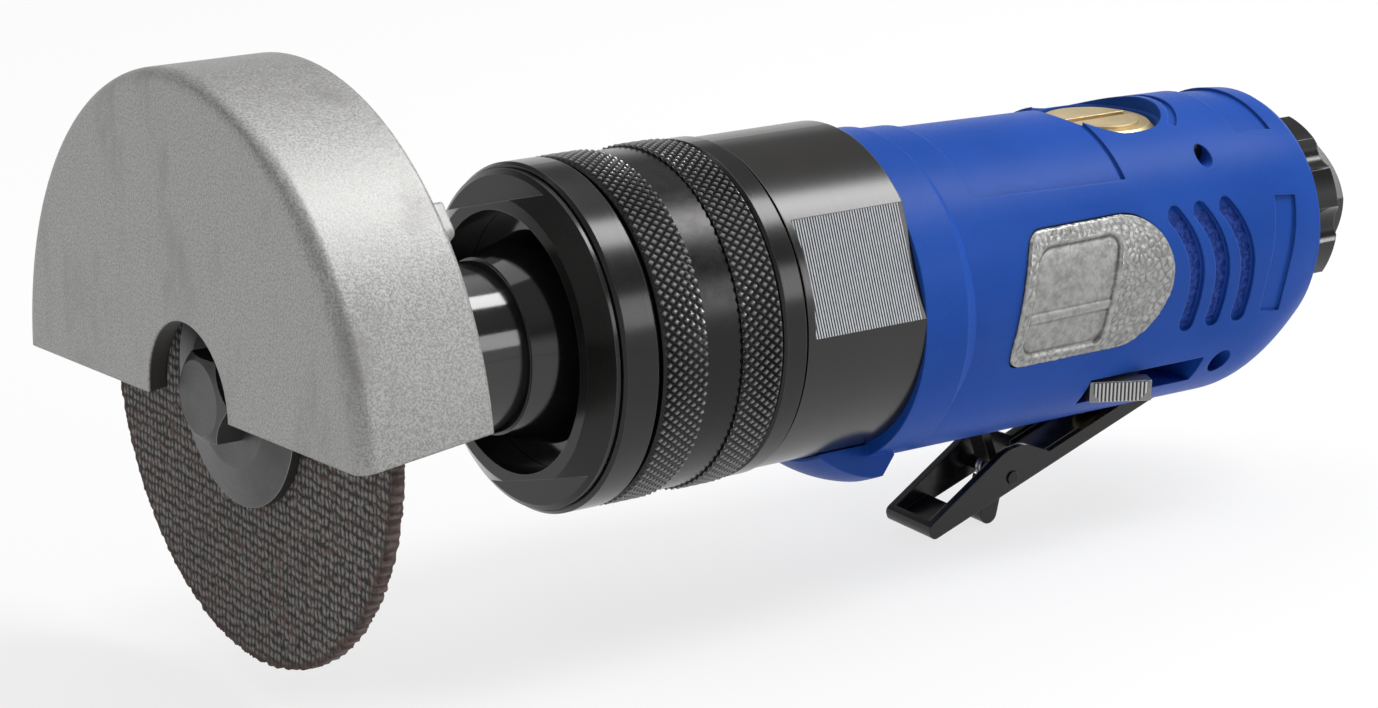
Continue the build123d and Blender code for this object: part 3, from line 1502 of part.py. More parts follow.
# Inlet screen: a drilled disc at the bottom of the bushing's bore
with BuildPart() as inlet_screen:
    with BuildSketch(Plane.YZ.offset(screen_front_x)):
        Circle(shank_radius - running_fit)
        Circle(screen_hole / 2, mode=Mode.SUBTRACT)
        for ring_index in range(1, screen_hole_rings + 1):
            with PolarLocations(ring_index * screen_hole_pitch, 6 * ring_index):
                Circle(screen_hole / 2, mode=Mode.SUBTRACT)
    extrude(amount=screen_thickness)
save(inlet_screen, "inlet_screen")
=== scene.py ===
import math

import bpy
from mathutils import Matrix, Vector, noise
from mathutils.bvhtree import BVHTree


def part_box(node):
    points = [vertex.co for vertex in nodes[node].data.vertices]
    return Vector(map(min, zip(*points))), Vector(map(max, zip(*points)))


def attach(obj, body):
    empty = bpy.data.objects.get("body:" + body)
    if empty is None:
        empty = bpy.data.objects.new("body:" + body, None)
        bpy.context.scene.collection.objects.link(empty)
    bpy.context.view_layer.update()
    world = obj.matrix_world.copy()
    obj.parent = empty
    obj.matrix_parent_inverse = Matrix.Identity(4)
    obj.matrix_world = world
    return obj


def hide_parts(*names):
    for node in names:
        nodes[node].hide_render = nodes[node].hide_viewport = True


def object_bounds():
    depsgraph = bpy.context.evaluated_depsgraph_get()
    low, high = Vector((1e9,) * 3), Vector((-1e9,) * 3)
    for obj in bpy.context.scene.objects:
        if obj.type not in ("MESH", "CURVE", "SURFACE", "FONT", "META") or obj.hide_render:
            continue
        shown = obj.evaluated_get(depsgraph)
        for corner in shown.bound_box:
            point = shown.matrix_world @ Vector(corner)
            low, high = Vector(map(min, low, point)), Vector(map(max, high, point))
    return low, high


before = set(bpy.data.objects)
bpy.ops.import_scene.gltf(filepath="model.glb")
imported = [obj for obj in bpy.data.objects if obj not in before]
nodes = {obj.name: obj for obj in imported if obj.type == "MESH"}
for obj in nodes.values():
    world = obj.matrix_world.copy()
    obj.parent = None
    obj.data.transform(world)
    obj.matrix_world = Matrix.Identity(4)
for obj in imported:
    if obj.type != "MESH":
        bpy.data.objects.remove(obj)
cad_low, cad_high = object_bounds()
mm = 0.001


# Air motor: ground and hardened steel, pressed and doweled together inside the barrel.
# The rotor turns on two ball bearings, and the spindle is pressed into it. None of it shows
# from outside, but the shafts and pins that reach the surface share its finish.
def shader_group(name, inputs, outputs):
    """A shader node group with named sockets, and the two nodes at its ends."""
    tree = bpy.data.node_groups.new(name, "ShaderNodeTree")
    for label, kind, value in inputs:
        socket = tree.interface.new_socket(label, in_out="INPUT", socket_type=kind)
        socket.default_value = value
    for label, kind in outputs:
        tree.interface.new_socket(label, in_out="OUTPUT", socket_type=kind)
    return tree, tree.nodes.new("NodeGroupInput"), tree.nodes.new("NodeGroupOutput")


def wire(tree, value, socket):
    """Links an output to a socket, or sets the socket to a plain value."""
    if isinstance(value, bpy.types.NodeSocket):
        tree.links.new(value, socket)
    else:
        socket.default_value = value


def calc(tree, operation, first, second=0.0):
    """The result of a Math node."""
    node = tree.nodes.new("ShaderNodeMath")
    node.operation = operation
    wire(tree, first, node.inputs[0])
    wire(tree, second, node.inputs[1])
    return node.outputs[0]


def rescale(tree, value, low, high, to_low=0.0, to_high=1.0):
    """A value moved smoothly from one range into another, and held there."""
    node = tree.nodes.new("ShaderNodeMapRange")
    node.interpolation_type = "SMOOTHSTEP"
    for label, setting in zip(("Value", "From Min", "From Max", "To Min", "To Max"),
                              (value, low, high, to_low, to_high)):
        wire(tree, setting, node.inputs[label])
    return node.outputs["Result"]


def object_axes(tree):
    """The X, Y and Z of a point in the part's own frame, in metres."""
    place = tree.nodes.new("ShaderNodeTexCoord")
    split = tree.nodes.new("ShaderNodeSeparateXYZ")
    tree.links.new(place.outputs["Object"], split.inputs[0])
    return place.outputs["Object"], split.outputs[0], split.outputs[1], split.outputs[2]


def distance_of(tree, first, second):
    """The length of the line from an axis to a point, from its two offsets."""
    squares = calc(tree, "ADD", calc(tree, "POWER", first, 2), calc(tree, "POWER", second, 2))
    return calc(tree, "SQRT", squares)


def noise_at(tree, vector, scale, detail=2.0, roughness=0.5):
    """A noise texture's value, for a scale in bumps per metre."""
    node = tree.nodes.new("ShaderNodeTexNoise")
    wire(tree, vector, node.inputs["Vector"])
    wire(tree, scale, node.inputs["Scale"])
    wire(tree, detail, node.inputs["Detail"])
    wire(tree, roughness, node.inputs["Roughness"])
    return node.outputs["Fac"]


# Tool marks run round the tool's axis: along a barrel they follow X, on an end face the radius
mark_depth = 0.0015 * mm
tool_marks, marks_in, marks_out = shader_group(
    "tool_marks",
    [("Lines per Metre", "NodeSocketFloat", 4000.0)],
    [("Lines", "NodeSocketFloat"), ("Patches", "NodeSocketFloat")],
)
vector, along, across, upward = object_axes(tool_marks)
travel = calc(tool_marks, "ADD", along, distance_of(tool_marks, across, upward))
line_noise = tool_marks.nodes.new("ShaderNodeTexNoise")
line_noise.noise_dimensions = "1D"
tool_marks.links.new(travel, line_noise.inputs["W"])
tool_marks.links.new(marks_in.outputs["Lines per Metre"], line_noise.inputs["Scale"])
tool_marks.links.new(line_noise.outputs["Fac"], marks_out.inputs["Lines"])
tool_marks.links.new(noise_at(tool_marks, vector, 120.0, 5.0, 0.6), marks_out.inputs["Patches"])

# Soft edges: every machined or moulded corner is a little round, and its Edge mask lets a finish colour it
# brighter as wear and painted highlight
soft_edge, edge_in, edge_out = shader_group(
    "soft_edge",
    [("Radius", "NodeSocketFloat", 0.2 * mm)],
    [("Normal", "NodeSocketVector"), ("Edge", "NodeSocketFloat")],
)
rounding = soft_edge.nodes.new("ShaderNodeBevel")
rounding.samples = 6
soft_edge.links.new(edge_in.outputs["Radius"], rounding.inputs["Radius"])
surface = soft_edge.nodes.new("ShaderNodeNewGeometry")
likeness = soft_edge.nodes.new("ShaderNodeVectorMath")
likeness.operation = "DOT_PRODUCT"
soft_edge.links.new(rounding.outputs["Normal"], likeness.inputs[0])
soft_edge.links.new(surface.outputs["Normal"], likeness.inputs[1])
soft_edge.links.new(rounding.outputs["Normal"], edge_out.inputs["Normal"])
soft_edge.links.new(rescale(soft_edge, likeness.outputs["Value"], 0.995, 0.85), edge_out.inputs["Edge"])


def new_finish(name, color, metallic, roughness):
    """A node material whose Principled shader starts from plain values."""
    material = bpy.data.materials.new(name)
    material.use_nodes = True
    shader = material.node_tree.nodes["Principled BSDF"]
    shader.inputs["Base Color"].default_value = (*color, 1)
    shader.inputs["Metallic"].default_value = metallic
    shader.inputs["Roughness"].default_value = roughness
    return material, material.node_tree, shader


def put(tree, group, **values):
    """A shader group placed in a material, with its own values."""
    node = tree.nodes.new("ShaderNodeGroup")
    node.node_tree = group
    for label, value in values.items():
        wire(tree, value, node.inputs[label.replace("_", " ")])
    return node.outputs


def blend_color(tree, factor, first, second):
    """A mix of two colours, each a socket or three numbers."""
    node = tree.nodes.new("ShaderNodeMix")
    node.data_type = "RGBA"
    wire(tree, factor, node.inputs["Factor"])
    for value, socket in ((first, node.inputs[6]), (second, node.inputs[7])):
        wire(tree, value if isinstance(value, bpy.types.NodeSocket) else (*value, 1), socket)
    return node.outputs[2]


def raise_bump(tree, shader, height, depth, normal=None):
    """A Bump node of a real depth that feeds the shader's normal."""
    node = tree.nodes.new("ShaderNodeBump")
    node.inputs["Distance"].default_value = depth
    node.inputs["Strength"].default_value = 1.0
    wire(tree, height, node.inputs["Height"])
    if normal:
        tree.links.new(normal, node.inputs["Normal"])
    tree.links.new(node.outputs["Normal"], shader.inputs["Normal"])


def turned_metal(name, color, edge_wear_and_highlight, metallic, roughness, lines=4000.0, edge=0.2 * mm, ior=None):
    """A turned or ground metal: fine lines round the axis, faint patches, and edges coloured brighter as wear
    and painted highlight.
    """
    material, tree, shader = new_finish(name, color, metallic, roughness)
    if ior:
        shader.inputs["IOR"].default_value = ior
    marks = put(tree, tool_marks, Lines_per_Metre=lines)
    edges = put(tree, soft_edge, Radius=edge)
    darker = [0.75 * channel for channel in color]
    patchy = blend_color(tree, rescale(tree, marks["Patches"], 0.35, 0.7), color, darker)
    # Edges are coloured brighter: partly rubbed wear, partly a painted highlight of the rounded corner.
    shade = blend_color(tree, edges["Edge"], patchy, edge_wear_and_highlight)
    tree.links.new(shade, shader.inputs["Base Color"])
    spread = rescale(tree, marks["Lines"], 0.3, 0.7, roughness * 0.93, roughness * 1.07)
    tree.links.new(spread, shader.inputs["Roughness"])
    raise_bump(tree, shader, marks["Lines"], mark_depth, edges["Normal"])
    return material


def dress(material, *names):
    """Gives a finish to the CAD nodes of these names."""
    for name in names:
        for slot in nodes[name].material_slots:
            slot.material = material


ground_steel = turned_metal("ground_steel", (0.55, 0.55, 0.56), (0.7, 0.7, 0.7), 1.0, 0.28)
dress(
    ground_steel,
    "spindle", "rotor", "motor_cylinder", "front_end_plate", "rear_end_plate", "plate_dowels",
    "front_bearing_outer_ring", "front_bearing_inner_ring", "front_bearing_balls",
    "rear_bearing_outer_ring", "rear_bearing_inner_ring", "rear_bearing_balls",
    "catch_spring", "throttle_spring", "reverse_lever_screw",
)

# Rotor vanes: pressed laminate blades that slide in the rotor's slots.
# The cloth layers show as fine brown streaks on the cut edges.
vane_laminate, tree, shader = new_finish("vane_laminate", (0.25, 0.15, 0.08), 0.0, 0.55)
vector = object_axes(tree)[0]
streaks = noise_at(tree, vector, 900.0, 4.0, 0.6)
vane_color = blend_color(tree, streaks, (0.16, 0.09, 0.05), (0.32, 0.2, 0.11))
tree.links.new(vane_color, shader.inputs["Base Color"])
raise_bump(tree, shader, streaks, 0.02 * mm)
dress(vane_laminate, "rotor_vanes")

# Seals: black nitrile rubber rings, washers and the gasket between barrel and grip.
# They sit in grooves and are nipped flat when the pieces are screwed together.
nitrile, tree, shader = new_finish("nitrile", (0.02, 0.02, 0.02), 0.0, 0.6)
vector = object_axes(tree)[0]
rubber_grain = noise_at(tree, vector, 2500.0, 3.0)
rubber_color = blend_color(tree, rubber_grain, (0.012, 0.012, 0.012), (0.035, 0.034, 0.033))
tree.links.new(rubber_color, shader.inputs["Base Color"])
raise_bump(tree, shader, rubber_grain, 0.01 * mm)
dress(nitrile, "sleeve_o_rings", "throttle_seal", "inlet_seal", "housing_gasket")

# Cutting wheel: grit bonded in resin over woven glass, pressed flat and cut with a rough rim.
# It is clamped between two steel flanges by the arbor screw.
wheel_low, wheel_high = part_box("cutting_wheel")
wheel_radius = wheel_high.z
wheel_bore_radius = 4.765 * mm
grit_size = 0.85 * mm
grit_depth = 0.24 * mm
weave_across = 1.0 * mm
weave_upright = 1.35 * mm
rim_tooth = 0.75 * mm
rim_depth = 0.55 * mm
wheel_rings = 92
wheel_spokes = 620


def grit_height(y, z, side):
    """How deep the grit lies below the wheel's face, from 0 to 1, at a point of one side."""
    spot = Vector((y / grit_size, z / grit_size, 7.3 * side))
    grain = 0.5 + 0.5 * noise.noise(spot) + 0.25 * noise.noise(2.1 * spot)
    knot = abs(math.cos(math.pi * y / weave_across) * math.cos(math.pi * z / weave_upright))
    return min(1.0, max(0.0, 0.65 * grain + 0.35 * (1 - knot)))


def rim_radius(turn):
    """The wheel's ragged outer radius at a share of a full turn."""
    arc = math.tau * wheel_radius * turn
    ring = Vector((math.cos(math.tau * turn), math.sin(math.tau * turn), 0)) * wheel_radius / rim_tooth
    ripple = 0.15 * (1 + math.sin(arc / rim_tooth * 2))
    return wheel_radius - rim_depth * min(1.0, abs(noise.noise(ring)) + ripple)


def mesh_piece(name, points, faces, body, material, smooth=True):
    """A new mesh object that rides on a body and takes a finish."""
    mesh = bpy.data.meshes.new(name)
    mesh.from_pydata(points, [], faces)
    mesh.materials.append(material)
    mesh.polygons.foreach_set("use_smooth", [smooth] * len(mesh.polygons))
    mesh.validate()
    piece = bpy.data.objects.new(name, mesh)
    bpy.context.scene.collection.objects.link(piece)
    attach(piece, body)
    return piece


def ring_faces(rows, count):
    """Quads between rows of points that each go once round, with the last row joined to the first."""
    faces = []
    for row in range(rows):
        start = row * count
        following = (row + 1) % rows * count
        for k in range(count):
            after = (k + 1) % count
            faces.append((start + k, start + after, following + after, following + k))
    return faces


bonded_grit, tree, shader = new_finish("bonded_grit", (0.07, 0.065, 0.062), 0.0, 0.85)
vector, _, across, upward = object_axes(tree)
grains = noise_at(tree, vector, 1 / grit_size, 3.0, 0.7)
flecks = noise_at(tree, vector, 900.0, 1.0)
drift = calc(tree, "MULTIPLY", calc(tree, "SUBTRACT", noise_at(tree, vector, 500.0), 0.5), 3.6)
waves = []
for place, pitch in ((across, weave_across), (upward, weave_upright)):
    phase = calc(tree, "ADD", calc(tree, "MULTIPLY", place, math.pi / pitch), drift)
    waves.append(calc(tree, "COSINE", phase))
knots = calc(tree, "ABSOLUTE", calc(tree, "MULTIPLY", waves[0], waves[1]))
grit_light = calc(tree, "ADD", calc(tree, "MULTIPLY", knots, 0.4), calc(tree, "MULTIPLY", grains, 0.75))
grit_share = rescale(tree, grit_light, 0.35, 0.85)
grit_color = blend_color(tree, grit_share, (0.02, 0.017, 0.016), (0.34, 0.325, 0.31))
red_share = rescale(tree, flecks, 0.56, 0.7, 0.0, 0.55)
red_color = blend_color(tree, red_share, grit_color, (0.17, 0.085, 0.07))
from_axis = distance_of(tree, across, upward)
at_rim = rescale(tree, from_axis, wheel_radius - 1.3 * mm, wheel_radius - 0.7 * mm, 0.0, 0.7)
rim_color = blend_color(tree, at_rim, red_color, (0.07, 0.038, 0.032))
tree.links.new(rim_color, shader.inputs["Base Color"])
raise_bump(tree, shader, grit_light, 0.25 * mm)

wheel_points = []
wheel_rows = 2 * (wheel_rings + 1)
for row in range(wheel_rows):
    side = 0 if row <= wheel_rings else 1
    step = row if side == 0 else wheel_rows - 1 - row
    share = step / wheel_rings
    for k in range(wheel_spokes):
        turn = k / wheel_spokes
        r = wheel_bore_radius + share * (rim_radius(turn) - wheel_bore_radius)
        y, z = r * math.cos(math.tau * turn), r * math.sin(math.tau * turn)
        sunk = grit_depth * grit_height(y, z, side)
        x = wheel_low.x + sunk if side == 0 else wheel_high.x - sunk
        wheel_points.append((x, y, z))
grit_wheel = mesh_piece("grit_wheel", wheel_points, ring_faces(wheel_rows, wheel_spokes),
                        "spindle_group", bonded_grit)
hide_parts("cutting_wheel")

# Flanges and arbor screw: turned from bar and left satin grey, with a faced hexagon head.
# The screw pulls both flanges against the wheel and into the spindle's nose.
satin_steel = turned_metal("satin_steel", (0.1, 0.097, 0.097), (0.32, 0.32, 0.32), 0.9, 0.42, lines=2600.0)
dress(satin_steel, "arbor_screw", "outer_flange", "inner_flange")

# Guard: a die-cast aluminium half drum, bead blasted and left bare, fixed on the neck.
# The blasting leaves a glittering grain, and handling leaves darker smears.
blasted_cast, tree, shader = new_finish("blasted_cast", (0.5, 0.5, 0.49), 0.75, 0.5)
notch_center = -1.7 * mm
notch_radius = 10.9 * mm
vector, along, across, upward = object_axes(tree)
stretch = tree.nodes.new("ShaderNodeMapping")
stretch.inputs["Scale"].default_value = (1.0, 1.0, 0.35)
tree.links.new(vector, stretch.inputs["Vector"])
smears = rescale(tree, noise_at(tree, stretch.outputs[0], 110.0, 5.0, 0.65), 0.5, 0.74, 0.0, 0.6)
blast_grain = noise_at(tree, vector, 3200.0, 3.0, 0.7)
coarse_grain = noise_at(tree, vector, 800.0, 2.0)
edges = put(tree, soft_edge, Radius=0.5 * mm)
grain_share = rescale(tree, blast_grain, 0.35, 0.65)
grain_color = blend_color(tree, grain_share, (0.26, 0.258, 0.254), (0.46, 0.46, 0.45))
smear_color = blend_color(tree, smears, grain_color, (0.24, 0.235, 0.23))
# Painted shade: the notch's inner wall just behind the front face is coloured near black and loses its metal
# sheen.
from_notch = calc(tree, "SUBTRACT", across, notch_center)
notch_reach = distance_of(tree, from_notch, upward)
in_notch = rescale(tree, notch_reach, notch_radius + 0.25 * mm, notch_radius + 0.02 * mm)
guard_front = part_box("guard")[0].x
behind_face = rescale(tree, along, guard_front + 0.05 * mm, guard_front + 0.4 * mm)
notch_painted_shade = calc(tree, "MULTIPLY", in_notch, behind_face)
notch_shaded_color = blend_color(tree, notch_painted_shade, smear_color, (0.035, 0.03, 0.029))
tree.links.new(notch_shaded_color, shader.inputs["Base Color"])
tree.links.new(calc(tree, "MULTIPLY", calc(tree, "SUBTRACT", 1.0, notch_painted_shade), 0.75), shader.inputs["Metallic"])
tree.links.new(rescale(tree, blast_grain, 0.3, 0.7, 0.42, 0.6), shader.inputs["Roughness"])
cast_height = calc(tree, "ADD", blast_grain, calc(tree, "MULTIPLY", coarse_grain, 0.6))
raise_bump(tree, shader, cast_height, 0.03 * mm, edges["Normal"])
dress(blasted_cast, "guard")

# Neck and its bush: a polished black tube that carries the guard, with a bronze sleeve inside
# in which the spindle runs. Three grub screws grip it in the guard's hub.
polished_black = turned_metal("polished_black", (0.009, 0.008, 0.008), (0.06, 0.06, 0.06), 0.0, 0.1,
                              lines=1500.0, ior=1.6)
dress(polished_black, "neck_sleeve", "guard_set_screws", "motor_circlip")
sintered_bronze = turned_metal("sintered_bronze", (0.42, 0.26, 0.12), (0.6, 0.4, 0.2), 1.0, 0.4)
dress(sintered_bronze, "neck_bush")

# Swivel, lock and stop rings: steel turned on the lathe and blackened in hot oxide.
# The nut screws into the collar, and both clamp the neck's flange; the edges are rubbed grey and painted
# brighter as a highlight.
black_oxide = turned_metal("black_oxide", (0.012, 0.0115, 0.011), (0.14, 0.14, 0.14), 0.05, 0.19,
                           lines=2200.0, edge=0.15 * mm, ior=1.4)
dress(black_oxide, "front_nut", "swivel_collar", "stop_ring", "lever_pin", "retaining_pin", "catch_pin")

# Lock ring: two bands rolled with a diamond knurl, and a plain band turned between them.
# It is screwed along the barrel by hand to lock the swivel.
lock_low, lock_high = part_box("lock_ring")
lock_radius = lock_high.z
knurl_around = 108
knurl_pitch = 1.7 * mm
knurl_depth = 0.42 * mm
knurl_tip = 0.86
knurl_steps = 8
plain_band = 5.8 * mm
plain_sink = 0.5 * mm
band_chamfer = 0.6 * mm
lock_mouth_radius = 21.36 * mm
lock_thread_radius = 20.35 * mm
lock_mouth_depth = 6.3 * mm


def saw(t):
    """A triangle wave: 0 at whole numbers and 1 half way between them."""
    return 1 - abs(2 * (t % 1.0) - 1)


def knurl_drop(along_band, turn):
    """How far the knurl is cut below the ring's radius at a place on a band."""
    first = saw(along_band / knurl_pitch + turn * knurl_around)
    second = saw(along_band / knurl_pitch - turn * knurl_around)
    return knurl_depth * (1 - min(first, second, knurl_tip) / knurl_tip)


plain_front = (lock_low.x + lock_high.x - plain_band) / 2
plain_rear = plain_front + plain_band
lock_profile = [(lock_low.x, lock_mouth_radius, False)]
band_step = knurl_pitch / knurl_steps
for band_front, band_rear in ((lock_low.x, plain_front), (plain_rear, lock_high.x)):
    stations = round((band_rear - band_front) / band_step)
    if band_front > lock_low.x:
        lock_profile.append((plain_rear, lock_radius - plain_sink, False))
    for k in range(stations + 1):
        x = band_front + (band_rear - band_front) * k / stations
        outer_gap = min(x - lock_low.x, lock_high.x - x)
        lock_profile.append((x, lock_radius - max(0.0, band_chamfer - outer_gap), True))
    if band_rear < lock_high.x:
        lock_profile.append((plain_front, lock_radius - plain_sink, False))
lock_profile += [
    (lock_high.x, lock_thread_radius, False),
    (lock_low.x + lock_mouth_depth, lock_thread_radius, False),
    (lock_low.x + lock_mouth_depth, lock_mouth_radius, False),
]
lock_spokes = knurl_around * knurl_steps
lock_points = []
for x, r, knurled in lock_profile:
    for k in range(lock_spokes):
        turn = k / lock_spokes
        cut = knurl_drop(x - lock_low.x, turn) if knurled else 0.0
        reach = min(r, lock_radius - cut) if knurled else r
        lock_points.append((x, reach * math.cos(math.tau * turn), reach * math.sin(math.tau * turn)))
knurl_oxide, tree, shader = new_finish("knurl_oxide", (0.03, 0.03, 0.03), 0.6, 0.25)
vector, _, across, upward = object_axes(tree)
from_axis = distance_of(tree, across, upward)
# The knurl's tips are coloured light grey: partly rubbed wear, partly painted glints.
tip_wear_and_glint = rescale(tree, from_axis, lock_radius - 0.3 * mm, lock_radius)
patches = noise_at(tree, vector, 600.0, 3.0, 0.6)
tip_wear_and_glint_color = blend_color(tree, tip_wear_and_glint, (0.014, 0.013, 0.013), (0.25, 0.25, 0.25))
tree.links.new(tip_wear_and_glint_color, shader.inputs["Base Color"])
tree.links.new(rescale(tree, patches, 0.3, 0.7, 0.23, 0.29), shader.inputs["Roughness"])
knurled_ring = mesh_piece("knurled_ring", lock_points, ring_faces(len(lock_profile), lock_spokes),
                          "lock_ring_body", knurl_oxide, smooth=False)
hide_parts("lock_ring")

# Motor housing: the blackened steel barrel, with two flats milled through the black for a wrench.
# The cutter leaves even lines across each flat; they are painted bright on the ridges and dark between them,
# as highlight and shade.
barrel_oxide = turned_metal("barrel_oxide", (0.016, 0.0145, 0.0135), (0.12, 0.12, 0.12), 0.05, 0.22,
                            lines=3200.0, ior=1.5)
dress(barrel_oxide, "motor_housing")
flat_angle = math.radians(22.7)
flat_half_angle = math.radians(20.5)
barrel_radius = 24.05 * mm
flat_gap = 1.45 * mm
flat_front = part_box("stop_ring")[1].x + flat_gap
spigot_length = 15.5 * mm
grip_clearance = 0.02 * mm
flat_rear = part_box("motor_housing")[1].x - spigot_length - grip_clearance
mill_pitch = 0.46 * mm
mill_depth = 0.06 * mm
mill_inset = 0.04 * mm


def tube_faces(rows):
    """Quads of a closed tube whose rows have four points each, with a face at each end."""
    faces = [(0, 1, 2, 3), tuple(4 * (rows - 1) + k for k in (3, 2, 1, 0))]
    for row in range(rows - 1):
        for k in range(4):
            here, after = 4 * row + k, 4 * row + (k + 1) % 4
            faces.append((here, here + 4, after + 4, after))
    return faces


def ridged_sheet(name, origin, along, across, spans, pitch, depth, body, material):
    """A thin plate of parallel ridges, one for each span, that lie across and follow each other along."""
    out = along.cross(across)
    points, count = [], 2 * len(spans) - 1
    for row in range(count):
        low, high = spans[row // 2] if row % 2 == 0 else spans[min(row // 2 + 1, len(spans) - 1)]
        start = origin + along * (pitch / 2 * row)
        top = out * (depth if row % 2 else depth / 4)
        left, right = start + across * low, start + across * high
        points += [left + top, right + top, right, left]
    return mesh_piece(name, points, tube_faces(count), body, material, smooth=False)


milled_steel, tree, shader = new_finish("milled_steel", (0.5, 0.5, 0.5), 0.55, 0.34)
vector, along, _, _ = object_axes(tree)
cutter_noise = noise_at(tree, vector, 1500.0, 3.0, 0.6)
ridge_place = calc(tree, "DIVIDE", calc(tree, "SUBTRACT", along, flat_front), mill_pitch)
ridge = calc(tree, "PINGPONG", ridge_place, 0.5)
cutter_line_shading = calc(tree, "ADD", calc(tree, "MULTIPLY", ridge, 1.7), calc(tree, "MULTIPLY", cutter_noise, 0.25))
mill_share = rescale(tree, cutter_line_shading, 0.4, 0.75)
# Painted highlight and shade: each cutter ridge is coloured bright and each valley near black.
mill_color = blend_color(tree, mill_share, (0.025, 0.026, 0.028), (0.66, 0.68, 0.72))
tree.links.new(mill_color, shader.inputs["Base Color"])
flat_distance = barrel_radius * math.cos(flat_half_angle)
flat_reach = barrel_radius * math.sin(flat_half_angle) - mill_inset
mill_count = int((flat_rear - flat_front) / mill_pitch)
mill_spans = [(-flat_reach, flat_reach)] * mill_count
tool_axis = Vector((1, 0, 0))
for name, facing in (("milled_flat_near", 1), ("milled_flat_far", -1)):
    out = Vector((0, -math.cos(flat_angle), math.sin(flat_angle))) * facing
    corner = Vector((flat_front, 0, 0)) + out * flat_distance
    ridged_sheet(name, corner, tool_axis, out.cross(tool_axis), mill_spans,
                 mill_pitch, mill_depth, "housing", milled_steel)

# Grip: one moulding in royal blue filled nylon, drilled through for its valve and pins.
# The mould gives a fine satin grain, rougher in the finger grooves.
grip_blue, tree, shader = new_finish("grip_blue", (0.008, 0.042, 0.28), 0.0, 0.4)
shader.inputs["Specular IOR Level"].default_value = 0.1
vector, along, _, upward = object_axes(tree)
groove_radius = 18.4 * mm
groove_half_width = 1.35 * mm
groove_low = -5.6 * mm
groove_high = 11.9 * mm
groove_center_z = -4.4 * mm
grip_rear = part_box("grip_housing")[1].x
groove_front_center = grip_rear - 44.8 * mm
groove_pitch = 5.3 * mm
in_groove = None
for k in range(3):
    from_x = calc(tree, "SUBTRACT", along, groove_front_center + k * groove_pitch)
    from_z = calc(tree, "SUBTRACT", upward, groove_center_z)
    reach = distance_of(tree, from_x, from_z)
    off_line = calc(tree, "ABSOLUTE", calc(tree, "SUBTRACT", reach, groove_radius))
    near = calc(tree, "LESS_THAN", off_line, groove_half_width)
    ahead = calc(tree, "MULTIPLY", near, calc(tree, "GREATER_THAN", from_x, 0.0))
    ahead = calc(tree, "MULTIPLY", ahead, calc(tree, "GREATER_THAN", from_z, groove_low))
    ahead = calc(tree, "MULTIPLY", ahead, calc(tree, "LESS_THAN", from_z, groove_high))
    in_groove = ahead if in_groove is None else calc(tree, "MAXIMUM", in_groove, ahead)
satin_grain = noise_at(tree, vector, 2600.0, 3.0, 0.6)
rough_grain = noise_at(tree, vector, 1300.0, 2.0, 0.7)
flow = noise_at(tree, vector, 45.0, 3.0)
edges = put(tree, soft_edge, Radius=0.35 * mm)
flow_color = blend_color(tree, rescale(tree, flow, 0.3, 0.7), (0.009, 0.066, 0.36), (0.015, 0.08, 0.41))
speck_share = rescale(tree, satin_grain, 0.6, 0.75, 0.0, 0.4)
speck_color = blend_color(tree, speck_share, flow_color, (0.05, 0.14, 0.5))
# Painted highlight: the moulding's rounded edges are coloured a lighter blue.
painted_edge_highlight = blend_color(tree, calc(tree, "MULTIPLY", edges["Edge"], 0.45), speck_color, (0.09, 0.19, 0.52))
# Painted shade: the finger grooves are coloured a darker blue, over their rougher grain.
groove_share = rescale(tree, rough_grain, 0.42, 0.6)
groove_shaded_speck = blend_color(tree, groove_share, (0.006, 0.02, 0.15), (0.03, 0.07, 0.36))
grip_color = blend_color(tree, calc(tree, "MULTIPLY", in_groove, 0.75), painted_edge_highlight, groove_shaded_speck)
tree.links.new(grip_color, shader.inputs["Base Color"])
tree.links.new(rescale(tree, satin_grain, 0.3, 0.7, 0.36, 0.46), shader.inputs["Roughness"])
groove_height = calc(tree, "MULTIPLY", calc(tree, "MULTIPLY", rough_grain, in_groove), 8.0)
raise_bump(tree, shader, calc(tree, "ADD", satin_grain, groove_height), 0.012 * mm, edges["Normal"])
dress(grip_blue, "grip_housing")

# Badge: a cast alloy plate let into the grip's side and glued, with a pebbled ground.
# Two sunk panels with a thin bar between them are left bare.
badge_low, badge_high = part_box("badge_plate")
badge_slant = 2.6 * mm
badge_edge_depth = 0.8 * mm
badge_step = 0.2 * mm
badge_skirt = 1.3 * mm
badge_inset = 0.03 * mm
badge_pulls = (0.0, 0.01, 0.03, 0.06, 0.1)
pebble_size = 1.15 * mm
pebble_height = 0.2 * mm
panel_center = Vector((badge_high.x - 19.0 * mm, -1.3 * mm))
panel_half = Vector((8.2, 8.3)) * mm
panel_bar_z = -3.7 * mm
panel_bar_half = 0.45 * mm
panel_corner = 2.6 * mm
panel_bow = 1.0 * mm
panel_depth = 0.55 * mm
panel_slope = 0.5 * mm


